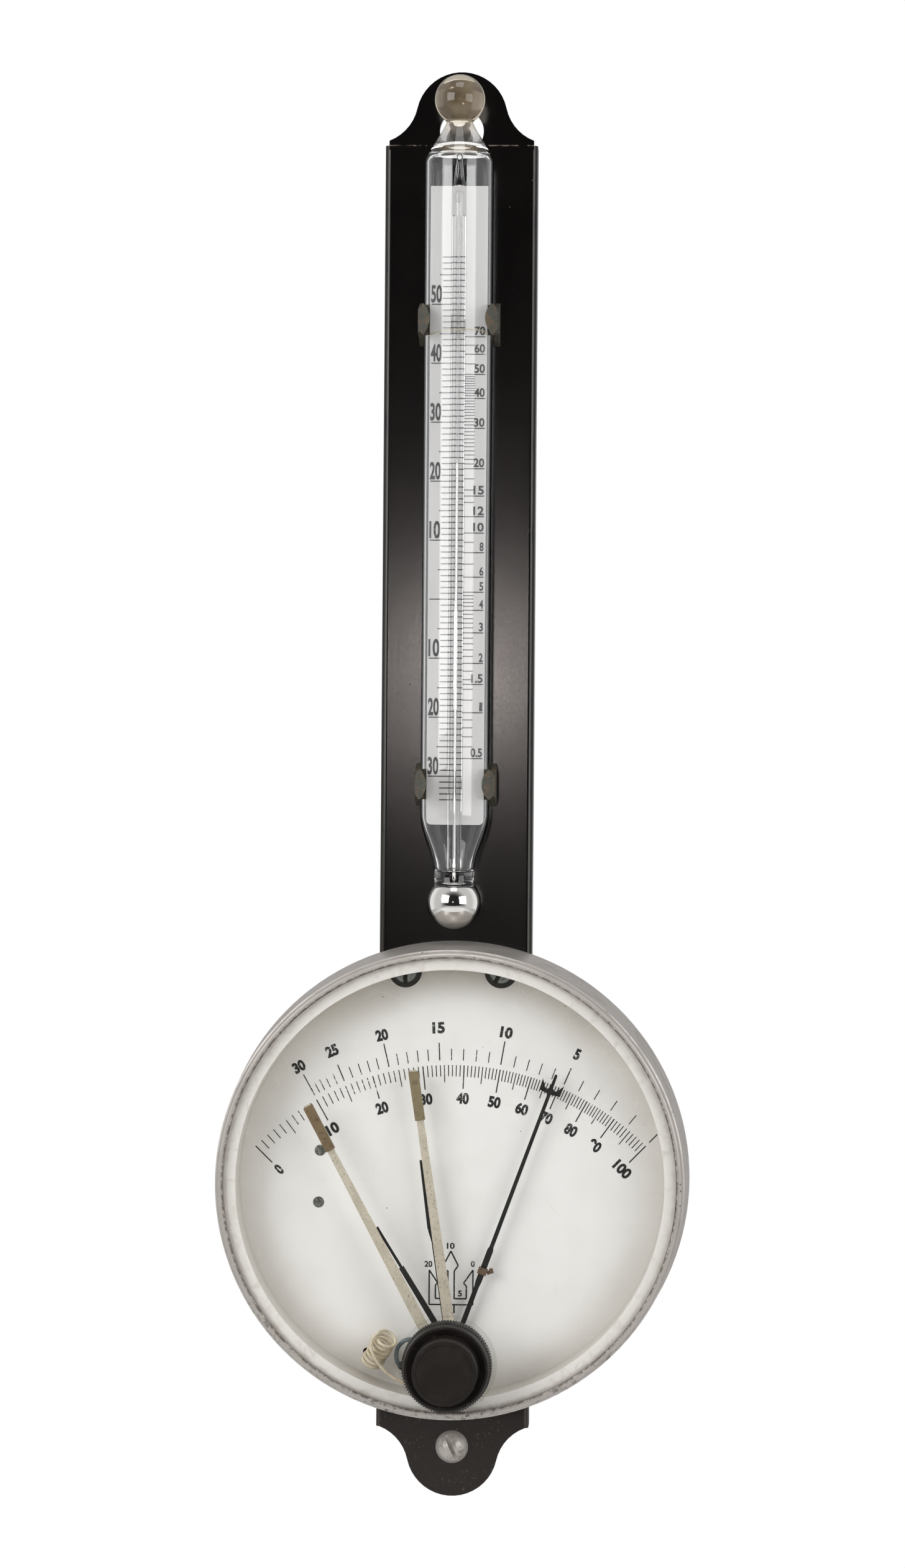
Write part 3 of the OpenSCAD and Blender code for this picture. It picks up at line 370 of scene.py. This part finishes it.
def paneFinish(name, tint, gloss, smear=0.0):
    # thin clear sheet: see-through with a reflection that grows at a slant
    f = Finish(name)
    clear = f.node("BsdfTransparent", values={"Color": tint}).outputs[0]
    shine = f.node("BsdfGlossy", values={"Roughness": 0.03, "Color": (1, 1, 1)}).outputs[0]
    slant = Num(f, f.node("LayerWeight", values={"Blend": 0.5}).outputs["Facing"])
    share = ((slant ** 5.0) * 0.9 + 0.035) * gloss
    share = share.math("ADD", f.noise(10.0, 4.0).step(0.5, 0.8) * smear, clamp=True)
    return f.done(f.node("MixShader", values={0: share, 1: clear, 2: shine}).outputs[0])


def mercuryFinish():
    f = Finish("mercury")
    return f.done(f.surface(Base_Color=(0.86, 0.84, 0.81), Roughness=0.035, Metallic=1.0))


def milkFinish():
    f = Finish("milkGlass")
    cloud = f.noise(8.0, 3.0, stretch=(1, 1, 0.25))
    colour = f.blend(cloud.step(0.35, 0.8), (0.55, 0.545, 0.54), (0.50, 0.495, 0.49))
    return f.done(f.surface(Base_Color=colour, Roughness=0.22, Specular_IOR_Level=0.4))


def leadFinish(name, base, shade, grain):
    f = Finish(name)
    dirt = f.noise(2.2, 4.0)
    colour = f.blend(dirt.step(0.42, 0.72), base, shade)
    f.bump(f.noise(grain, 3.0), 0.05, 0.5)
    return f.done(f.surface(Base_Color=colour, Roughness=0.55 + dirt * 0.1))


plateBlack = plateFinish()
agedNickel = nickelFinish()
screwNickel = nickelFinish("screwNickel", 0.6)
paleRing = ringFinish()
dialLacquer = dialFinish()
dialPrint = printFinish("dialPrint", (0.014, 0.014, 0.015), 0.06, 0.45)
scalePrint = printFinish("scalePrint", (0.010, 0.009, 0.009), 0.02, 0.30)
handSilver = metalFinish("handSilver", (0.66, 0.60, 0.49), (0.10, 0.075, 0.05), 0.40, 0.35, spots=0.30, grain=0.5)
hubSilver = metalFinish("hubSilver", (0.62, 0.57, 0.48), (0.15, 0.12, 0.08), 0.36, 0.5, spots=0.3)
sleeveOlive = metalFinish("sleeveOlive", (0.27, 0.22, 0.13), (0.13, 0.10, 0.055), 0.45, 0.3, spots=0.5, grain=1.2)
sleeveBrown = metalFinish("sleeveBrown", (0.22, 0.155, 0.085), (0.09, 0.06, 0.03), 0.48, 0.3, spots=0.5, grain=1.2)
pointerBlack = metalFinish("pointerBlack", (0.010, 0.0095, 0.0095), (0.04, 0.032, 0.028), 0.42, 0.1, spots=0.3)
feelerBrown = metalFinish("feelerBrown", (0.17, 0.115, 0.075), (0.05, 0.035, 0.025), 0.5, 0.4)
movementBrass = metalFinish("movementBrass", (0.60, 0.45, 0.20), (0.20, 0.13, 0.06), 0.30)
dullSteel = metalFinish("dullSteel", (0.20, 0.215, 0.205), (0.07, 0.07, 0.06), 0.42, 0.4, spots=0.5)
dialScrewSteel = metalFinish("dialScrewSteel", (0.24, 0.26, 0.245), (0.06, 0.06, 0.05), 0.40, 0.4, slotH=dialH + 1.0)
footSteel = metalFinish("footSteel", (0.22, 0.235, 0.21), (0.05, 0.05, 0.04), 0.5, 0.3, spots=1.0, grain=0.7)
nutSteel = metalFinish("nutSteel", (0.42, 0.40, 0.37), (0.14, 0.10, 0.07), 0.38, spots=0.5)
clipPatina = patinaFinish()
knobBlack = mouldedFinish("knobBlack", (0.0085, 0.0064, 0.0052), 0.42, dust=0.10, gloss=0.28)
capBlack = mouldedFinish("capBlack", (0.0105, 0.0080, 0.0064), 0.46, gloss=0.18, line=6.9)
blockBrown = mouldedFinish("blockBrown", (0.03, 0.018, 0.012), 0.4)
hairBrown = leadFinish("hairBrown", (0.10, 0.06, 0.03), (0.05, 0.03, 0.016), 0.12)
wireGold = metalFinish("wireGold", (0.62, 0.56, 0.38), (0.35, 0.30, 0.18), 0.35, 0.6)
jacketGlass = glassFinish("jacketGlass", (0.985, 0.99, 0.99), (-6.0, 1.0, (1.0, 0.92, 0.80), (0.44, 0.33, 0.20)))
tubeGlass = glassFinish("tubeGlass", (0.99, 0.995, 0.995))
crystalPane = paneFinish("crystalPane", (0.985, 0.985, 0.98), 0.8, 0.02)
washerPane = paneFinish("washerPane", (0.965, 0.97, 0.96), 1.0, 0.03)
quicksilver = mercuryFinish()
milkGlass = milkFinish()
leadCream = leadFinish("leadCream", (0.74, 0.66, 0.50), (0.52, 0.43, 0.29), 0.25)
leadSlate = leadFinish("leadSlate", (0.12, 0.155, 0.17), (0.20, 0.235, 0.245), 0.3)
print("finishes made")

# which CAD node wears which finish
nodeFinish = {
    "back_plate": plateBlack, "lower_screw": screwNickel, "lower_spacer": movementBrass,
    "upper_clip": clipPatina, "lower_clip": clipPatina, "clip_rivets": clipPatina,
    "scale_strip": milkGlass, "scale_support": tubeGlass, "tie_wire": wireGold,
    "case_cup": agedNickel, "bezel": agedNickel, "case_screws": nutSteel, "case_nuts": nutSteel,
    "inner_ring": paleRing, "crystal": crystalPane, "dial": dialLacquer,
    "shelf_ring": movementBrass, "dial_screws": dialScrewSteel, "dial_feet": footSteel,
    "movement_plate": movementBrass, "movement_screws": nutSteel, "upper_cock": movementBrass,
    "cock_posts": movementBrass, "hair_bundle": hairBrown, "hair_clamp": movementBrass,
    "hair_adjuster": nutSteel, "terminal_block": blockBrown,
    "pointer_spindle": dullSteel, "hair_drum": movementBrass, "balance_weight": movementBrass,
    "pointer_arm": pointerBlack, "pointer_needle": pointerBlack, "feeler_hook": feelerBrown,
    "outer_shaft": movementBrass, "low_hub": hubSilver, "low_hand": handSilver, "low_finger": pointerBlack,
    "low_sleeve": sleeveBrown, "knurled_knob": knobBlack, "inner_shaft": movementBrass,
    "high_hub": hubSilver, "high_hand": handSilver, "high_finger": pointerBlack,
    "high_sleeve": sleeveOlive, "cap_knob": capBlack,
    "crystal_bush": movementBrass, "bush_nut": movementBrass, "knob_washer": washerPane,
    "capillary": tubeGlass, "mercury": quicksilver, "glass_jacket": jacketGlass,
    "white_lead": leadCream, "blue_lead": leadSlate,
}
for nodeName, material in nodeFinish.items():
    nodes[nodeName].data.materials.clear()
    nodes[nodeName].data.materials.append(material)
print("CAD nodes dressed")


def makePiece(bm, name, material, body="frame", replaces=(), smooth=None):
    mesh = bpy.data.meshes.new(name)
    bm.to_mesh(mesh)
    bm.free()
    mesh.materials.append(material)
    if smooth is not None:
        mesh.shade_smooth()
        mesh.set_sharp_from_angle(angle=math.radians(smooth))
    piece = bpy.data.objects.new(name, mesh)
    bpy.context.scene.collection.objects.link(piece)
    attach(piece, body)
    if replaces:
        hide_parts(*replaces)
    return piece


def turned(bm, profile, centre, axis, steps=96):
    # spins a profile of [radius, distance along the axis] round that axis
    side = axis.orthogonal().normalized()
    points = [bm.verts.new(centre + (side * r + axis * t) * mm) for r, t in profile]
    edges = [bm.edges.new(pair) for pair in zip(points, points[1:])]
    bmesh.ops.spin(bm, geom=points + edges, cent=centre, axis=axis, angle=2 * math.pi, steps=steps, use_merge=True)
    bmesh.ops.remove_doubles(bm, verts=bm.verts, dist=1e-6)


def stroke(bm, start, end, width, h):
    # one flat printed line between two points [x, z]
    a, b = at(*start, h), at(*end, h)
    along, face = b - a, Vector((0, -1, 0))
    across = along.normalized().cross(face) * width * mm
    place = Matrix.Translation((a + b) / 2) @ Matrix((across, along, face)).transposed().to_4x4()
    bmesh.ops.create_grid(bm, x_segments=1, y_segments=1, size=0.5, matrix=place)


def number(bm, text, x, z, h, height, width, turn=0.0, weight=0.0):
    # a number centred on a point; width is that of the whole number
    curve = bpy.data.curves.new("number", "FONT")
    curve.body, curve.size, curve.offset, curve.resolution_u = text, 1.0, weight, 6
    holder = bpy.data.objects.new("number", curve)
    bpy.context.scene.collection.objects.link(holder)
    bpy.context.view_layer.update()
    mesh = bpy.data.meshes.new_from_object(holder.evaluated_get(bpy.context.evaluated_depsgraph_get()))
    bpy.data.objects.remove(holder)
    xs = [v.co.x for v in mesh.vertices]
    ys = [v.co.y for v in mesh.vertices]
    size = (width / (max(xs) - min(xs)), height / (max(ys) - min(ys)))
    centre = Matrix.Translation((-(max(xs) + min(xs)) / 2, -(max(ys) + min(ys)) / 2, 0))
    fit = Matrix.Diagonal((size[0] * mm, size[1] * mm, 1, 1))
    place = (Matrix.Translation(at(x, z, h)) @ Matrix.Rotation(math.radians(turn), 4, "Y")
             @ Matrix.Rotation(math.pi / 2, 4, "X") @ fit @ centre)
    mesh.transform(place)
    bm.from_mesh(mesh)
    bpy.data.meshes.remove(mesh)


# sizes of the dial's print, and the angles of its marks in degrees
dialPrintSizes = {"line": 0.21, "longLine": 0.27, "lift": 0.03, "height": 2.65, "digit": 1.5, "weight": 0.05}
humidity = [-45.63, -29.65, -16.95, -6.3, 2.3, 9.84, 16.5, 22.6, 29.1, 35.8, 44.35]
celsius = {30: -29.5, 28: -27.2, 27: -25.9, 25: -22.8, 23: -19.0, 21: -15.3, 20: -13.2, 18: -9.2, 16: -5.0, 15: -2.72,
           13: 2.07, 12: 4.66, 10: 9.76, 8: 15.15, 7: 17.8, 5: 23.3, 4: 26.55, 3: 30.14, 2: 34.15, 1: 38.8, 0: 44.35}
dialRadii = {"inner": 58.0, "half": 59.45, "short": 60.8, "outer": 63.4, "start": 64.5, "end": 67.15,
             "halfEnd": 68.55, "longEnd": 69.97, "lowNumber": 55.8, "highNumber": 72.0}


def smoothAngle(stops, t):
    # angle between the decades, on a smooth curve through them
    i = min(int(t), len(stops) - 2)
    u = t - i
    p1, p2 = stops[i], stops[i + 1]
    p0 = stops[i - 1] if i else 2 * p1 - p2 - 2.0
    p3 = stops[i + 2] if i + 2 < len(stops) else 2 * p2 - p1 + 1.0
    return 0.5 * (2 * p1 + (p2 - p0) * u + (2 * p0 - 5 * p1 + 4 * p2 - p3) * u * u
                  + (3 * p1 - p0 - 3 * p2 + p3) * u ** 3)


def radialTick(bm, angle, inner, outer, width, h):
    stroke(bm, around(angle, inner), around(angle, outer), width, h)


sizes, radii = dialPrintSizes, dialRadii
bm = bmesh.new()
printH = dialH + sizes["lift"]
for percent in range(101):
    angle = smoothAngle(humidity, percent / 10)
    inner = radii["inner"] if percent % 10 == 0 else radii["half"] if percent % 5 == 0 else radii["short"]
    radialTick(bm, angle, inner, radii["outer"], sizes["longLine"] if percent % 10 == 0 else sizes["line"], printH)
for index, angle in enumerate(humidity):
    text = str(index * 10)
    x, z = around(angle, radii["lowNumber"])
    wide = sizes["digit"] * len(text) * 1.02 - 0.2
    number(bm, text, x, z, printH, sizes["height"], wide, angle, sizes["weight"])
degrees = sorted(celsius)
for low, high in zip(degrees, degrees[1:]):
    for value in range(low, high):
        angle = celsius[low] + (celsius[high] - celsius[low]) * (value - low) / (high - low)
        outer = radii["longEnd"] if value in (10, 20) else radii["halfEnd"] if value in (5, 15, 25) else radii["end"]
        radialTick(bm, angle, radii["start"], outer, sizes["longLine"] if value % 5 == 0 else sizes["line"], printH)
radialTick(bm, celsius[30], radii["start"], radii["longEnd"], sizes["longLine"], printH)
for value in (30, 25, 20, 15, 10, 5):
    text = str(value)
    x, z = around(celsius[value], radii["highNumber"])
    wide = sizes["digit"] * len(text) - 0.15
    number(bm, text, x, z, printH, sizes["height"], wide, celsius[value], sizes["weight"])
makePiece(bm, "dialScales", dialPrint)

# plain arrows over the hub as runs of points [x, z] from the axis, with their four numbers
arrowSizes = {"line": 0.33, "height": 1.4, "digit": 0.9, "weight": 0.03, "lineShift": -0.45, "digitShift": -0.5}
arrowLines = [
    [(-4.55, 19.7), (-4.55, 11.8), (5.5, 11.8), (5.5, 19.8), (3.35, 16.75), (4.0, 16.1), (4.0, 13.2), (1.2, 13.2)],
    [(-4.55, 19.7), (-2.6, 16.8), (-3.1, 16.3), (-3.1, 13.2), (-0.25, 13.2)],
    [(-0.25, 13.2), (-0.25, 19.6), (-0.85, 19.6), (-1.4, 20.6), (0.4, 24.1), (2.1, 20.8), (1.2, 19.5), (1.2, 13.2)],
    [(1.2, 11.8), (1.2, 9.9)],
]
bm = bmesh.new()
for line in arrowLines:
    for a, b in zip(line, line[1:]):
        shift = arrowSizes["lineShift"]
        stroke(bm, (a[0] + shift, pivotZ + a[1]), (b[0] + shift, pivotZ + b[1]), arrowSizes["line"], printH)
for text, x, z in (("20", -4.7, 21.1), ("10", 0.4, 25.3), ("0", 5.5, 21.2), ("5", 2.6, 14.4)):
    number(bm, text, x + arrowSizes["digitShift"], pivotZ + z, printH, arrowSizes["height"],
           arrowSizes["digit"] * len(text), 0, arrowSizes["weight"])
makePiece(bm, "dialArrows", dialPrint)
print("dial printed")

# the thermometer's scale: degrees on the left, saturation pressure on the right
stripSizes = {"face": tubeH - 0.5 + 0.03, "line": 0.25, "weight": 0.03, "left": (-3.65, 1.25), "mid": -4.3,
              "long": -6.3, "right": (1.45, 3.9), "rightLong": 6.3}
zeroZ, degreeZ = -108.98, 1.3558


def tempZ(value):
    return zeroZ + value * degreeZ


def pressureZ(value):
    # place of a saturation pressure on the temperature scale
    part = math.log10(value / 4.58)
    return tempZ(237.3 * part / (7.5 - part))


sizes = stripSizes
bm = bmesh.new()
for value in range(-34, 59):
    left = sizes["long"] if value % 10 == 0 else sizes["mid"] if value % 5 == 0 else sizes["left"][0]
    stroke(bm, (left, tempZ(value)), (sizes["left"][1], tempZ(value)), sizes["line"], sizes["face"])
for value in (50, 40, 30, 20, 10, -10, -20, -30):
    number(bm, str(abs(value)), -5.15, tempZ(value) + 2.4, sizes["face"], 4.1, 2.6, 0, sizes["weight"])
marks = [70, 65, 60, 55] + list(range(50, 5, -1)) + [5 - i * 0.2 for i in range(21)] + [0.9, 0.8, 0.7, 0.6, 0.5]
numbered = [70, 60, 50, 40, 30, 20, 15, 12, 10, 8, 6, 5, 4, 3, 2, 1.5, 1, 0.5]
for value in marks + [1.5]:
    long = min(abs(value - n) for n in numbered) < 0.001
    if 5 < value < 20 and not long and value not in (18, 16, 14, 9, 7):
        continue
    right = sizes["rightLong"] if long else sizes["right"][1]
    stroke(bm, (sizes["right"][0], pressureZ(value)), (right, pressureZ(value)), sizes["line"], sizes["face"])
for value in numbered:
    text = f"{value:g}"
    width = {1: 0.95, 2: 2.5, 3: 2.7}[len(text)] * (0.8 if value == 1 else 1)
    number(bm, text, 6.2 - width / 2, pressureZ(value) + 1.35, sizes["face"], 2.05, width, 0, sizes["weight"])
makePiece(bm, "thermometerScale", scalePrint)
print("thermometer scale printed")

# leads: round tubes on smooth routes, given from the hands' axis
whiteLead = {"diameter": 0.75, "turns": 7, "pitch": 1.2, "radius": 2.2, "perTurn": 24}
blueLead = {"diameter": 1.0}
leadEnds = {
    "whiteIn": [(-2.75, -2.5, 18.1), (-3.18, -2.89, 18.1), (-3.8, -3.45, 18.1), (-4.8, -4.3, 18.1),
                (-6.4, -5.2, 18.2), (-8.6, -5.6, 18.4), (-10.8, -4.9, 18.7), (-13, -3.6, 19), (-15, -1.9, 19.4),
                (-16.6, 0.2, 19.7),
                (-17.6, 2.4, 19.8), (-17.6, 4.3, 19.6), (-16.9, 5.5, 18.9), (-16.2, 5.95, 18.3)],
    "whiteOut": [(-19.5, 0.5, 12.5), (-19.3, 0.7, 11.6), (-19.2, 0.8, 10.7), (-19.2, 0.8, 9.4), (-19.2, 0.8, 8)],
    "blue": [(-3.5, 1.85, 15.9), (-3.93, 2.1, 15.9), (-4.9, 2.65, 15.9), (-6.2, 3.5, 15.8), (-8, 4.3, 15.7),
             (-10.2, 4.1, 15.4), (-11.8, 2.4, 15), (-12.2, 0.2, 14.3), (-11.9, -1.4, 13.1), (-11.4, -2.2, 11.9),
             (-11.2, -2.4, 10.8), (-11.2, -2.4, 9.4), (-11.2, -2.4, 8)],
}


def leadPoint(p):
    return at(p[0], pivotZ + p[1], p[2])


def rounded(points, parts=5):
    # more points on a smooth curve through the given ones
    ends = [points[0] * 2 - points[1]] + points + [points[-1] * 2 - points[-2]]
    line = []
    for p0, p1, p2, p3 in zip(ends, ends[1:], ends[2:], ends[3:]):
        for i in range(parts):
            u = i / parts
            line.append(0.5 * (2 * p1 + (p2 - p0) * u + (2 * p0 - 5 * p1 + 4 * p2 - p3) * u * u
                               + (3 * p1 - p0 - 3 * p2 + p3) * u ** 3))
    return line + [points[-1]]


def coilPoints(lead):
    top, foot = Vector((-14, 5, 17.6)), Vector((-18, -1.2, 13.4))
    axis = (foot - top).normalized()
    first = Vector((-0.8, 0.6, 0))
    first = (first - axis * first.dot(axis)).normalized()
    second = axis.cross(first)
    made = []
    for i in range(lead["perTurn"] * lead["turns"] + 1):
        t = i / lead["perTurn"]
        turn = 2 * math.pi * t
        spread = lead["radius"] + 0.10 * math.sin(2.3 * t + 1.0) * min(1.0, t, lead["turns"] - t)
        made.append(top + axis * lead["pitch"] * t + (first * math.cos(turn) + second * math.sin(turn)) * spread)
    return made


def tube(name, line, diameter, material, replaces):
    curve = bpy.data.curves.new(name, "CURVE")
    curve.dimensions, curve.bevel_depth, curve.bevel_resolution = "3D", diameter * mm / 2, 3
    curve.use_fill_caps = True
    spline = curve.splines.new("POLY")
    spline.points.add(len(line) - 1)
    for point, place in zip(spline.points, line):
        point.co = (*place, 1)
    holder = bpy.data.objects.new(name + "Line", curve)
    bpy.context.scene.collection.objects.link(holder)
    bpy.context.view_layer.update()
    mesh = bpy.data.meshes.new_from_object(holder.evaluated_get(bpy.context.evaluated_depsgraph_get()))
    bpy.data.objects.remove(holder)
    bm = bmesh.new()
    bm.from_mesh(mesh)
    bmesh.ops.recalc_face_normals(bm, faces=bm.faces)
    return makePiece(bm, name, material, "frame", replaces, smooth=50)


coil = [leadPoint(p) for p in coilPoints(whiteLead)]
leadIn = rounded([leadPoint(p) for p in leadEnds["whiteIn"]] + [coil[0], coil[2]])[:-5]
leadOut = rounded([coil[-3], coil[-1]] + [leadPoint(p) for p in leadEnds["whiteOut"]])[5:]
whiteLine = leadIn[:-1] + coil + leadOut[1:]
blueLine = rounded([leadPoint(p) for p in leadEnds["blue"]])
tube("whiteLeadTube", whiteLine, whiteLead["diameter"], leadCream, ["white_lead"])
tube("blueLeadTube", blueLine, blueLead["diameter"], leadSlate, ["blue_lead"])
print("leads laid")

# the jacket's glass: smooth turned shells in place of the CAD one
jacketSizes = {"ballZ": 5.7, "ball": 5.8, "neck": 2.9, "neckZ": 0.9, "tube": 7.9, "wall": 0.7, "shoulderZ": -8.7,
               "tipZ": -5.3, "ceiling": 3.5, "waistZ": -158.2, "lowNeck": 4.5, "lowNeckZ": -172.8, "well": 3.6,
               "wellZ": -171.2, "bulbZ": -178.6, "bulb": 6.2}
# the flare from neck to tube, as shares of its drop and of its widening
flareShares = [(0.075, 0.045), (0.15, 0.12), (0.25, 0.22), (0.4, 0.4), (0.55, 0.57), (0.7, 0.745), (0.8, 0.865),
               (0.87, 0.94), (0.93, 0.985), (1.0, 1.0)]


def ease(a, b, t):
    return a + (b - a) * (3 - 2 * t) * t * t


def arc(radius, z, start, end, step=6, height=None):
    # points on a circle, or on an ellipse of another height, from the top down
    return [(radius * math.sin(math.radians(a)), z + (height or radius) * math.cos(math.radians(a)))
            for a in range(start, end + 1, step)]


def jacketPiece():
    s = jacketSizes
    centre, up = at(0, 0, tubeH), Vector((0, 0, 1))
    ball = arc(s["ball"], s["ballZ"], 0, 144)
    flare = [Vector((s["neck"] + 0.12, s["neckZ"] - 0.3))] + [
        Vector((s["neck"] + (s["tube"] - s["neck"]) * wide, s["neckZ"] + (s["shoulderZ"] - s["neckZ"]) * drop))
        for drop, wide in flareShares]
    top = [tuple(p) for p in rounded(flare, 3)]
    low = [(ease(s["tube"], s["lowNeck"], i / 18), s["waistZ"] + (s["lowNeckZ"] - s["waistZ"]) * i / 18)
           for i in range(19)]
    bulb = arc(s["bulb"], s["bulbZ"], 48, 180)
    bm = bmesh.new()
    turned(bm, ball + top + low + bulb, centre, up)
    bmesh.ops.recalc_face_normals(bm, faces=bm.faces)
    inner = bmesh.new()
    wall = s["tube"] - s["wall"]
    dome = arc(wall, s["tipZ"] - s["ceiling"], 0, 90, height=s["ceiling"])
    lower = [(ease(wall, s["well"], i / 14), s["waistZ"] + (s["wellZ"] - s["waistZ"]) * i / 14) for i in range(15)]
    foot = [(s["well"] * math.cos(i * math.pi / 12), s["wellZ"] - 0.5 * math.sin(i * math.pi / 12))
            for i in range(1, 7)]
    turned(inner, dome + lower + foot, centre, up)
    bmesh.ops.recalc_face_normals(inner, faces=inner.faces)
    bmesh.ops.reverse_faces(inner, faces=inner.faces)
    shell = bpy.data.meshes.new("cavity")
    inner.to_mesh(shell)
    bm.from_mesh(shell)
    makePiece(bm, "jacketShell", jacketGlass, replaces=["glass_jacket"], smooth=60)


jacketPiece()
print("glass blown")

stageSizes = {"floorZ": -620, "floorSize": 2600, "floorColour": (0.8, 0.8, 0.79)}
bm = bmesh.new()
bmesh.ops.create_grid(bm, x_segments=1, y_segments=1, size=stageSizes["floorSize"] * mm / 2,
                      matrix=Matrix.Translation((0, -0.35, stageSizes["floorZ"] * mm)))
floorMesh = bpy.data.meshes.new("floor")
bm.to_mesh(floorMesh)
bm.free()
floor = bpy.data.objects.new("floor", floorMesh)
bpy.context.scene.collection.objects.link(floor)
floorLook = Finish("floorPale")
floorMesh.materials.append(floorLook.done(floorLook.surface(Base_Color=stageSizes["floorColour"], Roughness=0.7)))

lampLook = {
    "leftBox": {"place": (-0.74, -0.86, 0.16), "size": 0.7, "power": 7.0},
    "rightBox": {"place": (0.82, -0.82, 0.06), "size": 0.7, "power": 4.9},
    "frontBox": {"place": (-0.06, -1.45, -0.088), "size": 0.06, "power": 0.42, "colour": (1.0, 0.90, 0.86)},
    "topBox": {"place": (0.0, -0.45, 0.95), "size": 0.5, "power": 2.2},
}
aim = Vector((0, 0, -0.16))
for name, look in lampLook.items():
    lamp = bpy.data.lights.new(name, "AREA")
    lamp.energy, lamp.size = look["power"], look["size"]
    lamp.color = look.get("colour", (1, 1, 1))
    holder = bpy.data.objects.new(name, lamp)
    holder.location = look["place"]
    holder.rotation_euler = (aim - Vector(look["place"])).to_track_quat("-Z", "Y").to_euler()
    bpy.context.scene.collection.objects.link(holder)

# white to the camera; what metal and glass mirror is dark in front, so black stays black
worldLook = {"light": 0.46, "front": 0.02, "side": 0.60, "back": 0.46, "through": 0.95}
world = bpy.data.worlds.new("studio")
bpy.context.scene.world = world
world.use_nodes = True
tree = world.node_tree
tree.nodes.clear()


def worldNode(kind, settings=None, values=None):
    made = tree.nodes.new("ShaderNode" + kind)
    for key, value in (settings or {}).items():
        setattr(made, key, value)
    for key, value in (values or {}).items():
        if isinstance(value, bpy.types.NodeSocket):
            tree.links.new(value, made.inputs[key])
        else:
            made.inputs[key].default_value = value
    return made


path = worldNode("LightPath").outputs
depth = worldNode("SeparateXYZ", values={0: worldNode("TexCoord").outputs["Generated"]}).outputs[1]
front = worldNode("MapRange", {"interpolation_type": "SMOOTHSTEP"}, {
    "Value": depth, "From Min": -0.86, "From Max": -0.35, "To Min": worldLook["front"], "To Max": worldLook["side"]})
mirrored = worldNode("MapRange", {"interpolation_type": "SMOOTHSTEP"}, {
    "Value": depth, "From Min": 0.3, "From Max": 0.9, "To Min": front.outputs[0], "To Max": worldLook["back"]})
through = worldNode("MapRange", {"interpolation_type": "SMOOTHSTEP"}, {
    "Value": depth, "From Min": 0.0, "From Max": 0.6, "To Min": front.outputs[0], "To Max": worldLook["through"]})
first = worldNode("Math", {"operation": "LESS_THAN"}, {0: path["Diffuse Depth"], 1: 0.5}).outputs[0]
strength = worldLook["light"]
for ray, value in (("Is Glossy Ray", mirrored.outputs[0]), ("Is Transmission Ray", through.outputs[0])):
    share = worldNode("Math", {"operation": "MULTIPLY"}, {0: path[ray], 1: first}).outputs[0]
    strength = worldNode("Mix", {"data_type": "FLOAT"}, {0: share, 2: strength, 3: value}).outputs[0]
strength = worldNode("Mix", {"data_type": "FLOAT"}, {0: path["Is Camera Ray"], 2: strength, 3: 1.0}).outputs[0]
shade = worldNode("Background", values={"Color": (1, 1, 1, 1), "Strength": strength})
worldNode("OutputWorld", values={"Surface": shade.outputs[0]})

cameraLook = {"place": (45, -1000, -151.4), "aim": (-1.0, 0, -151.4), "frameHeight": 363.7, "lean": 0.0077}
camera = bpy.data.cameras.new("camera")
cameraHolder = bpy.data.objects.new("camera", camera)
bpy.context.scene.collection.objects.link(cameraHolder)
place, aimAt = Vector(cameraLook["place"]) * mm, Vector(cameraLook["aim"]) * mm
forward = (aimAt - place).normalized()
upward = Vector((-cameraLook["lean"], 0, 1)).normalized()
sideways = forward.cross(upward).normalized()
upward = sideways.cross(forward).normalized()
cameraHolder.matrix_world = Matrix.Translation(place) @ Matrix((sideways, upward, -forward)).transposed().to_4x4()
camera.sensor_fit = "VERTICAL"
camera.sensor_height = 36
camera.lens = 36 * (aimAt - place).length / (cameraLook["frameHeight"] * mm)
camera.clip_start, camera.clip_end = 0.05, 20
bpy.context.scene.camera = cameraHolder
bpy.context.scene.view_settings.view_transform = "Standard"
print("stage set")
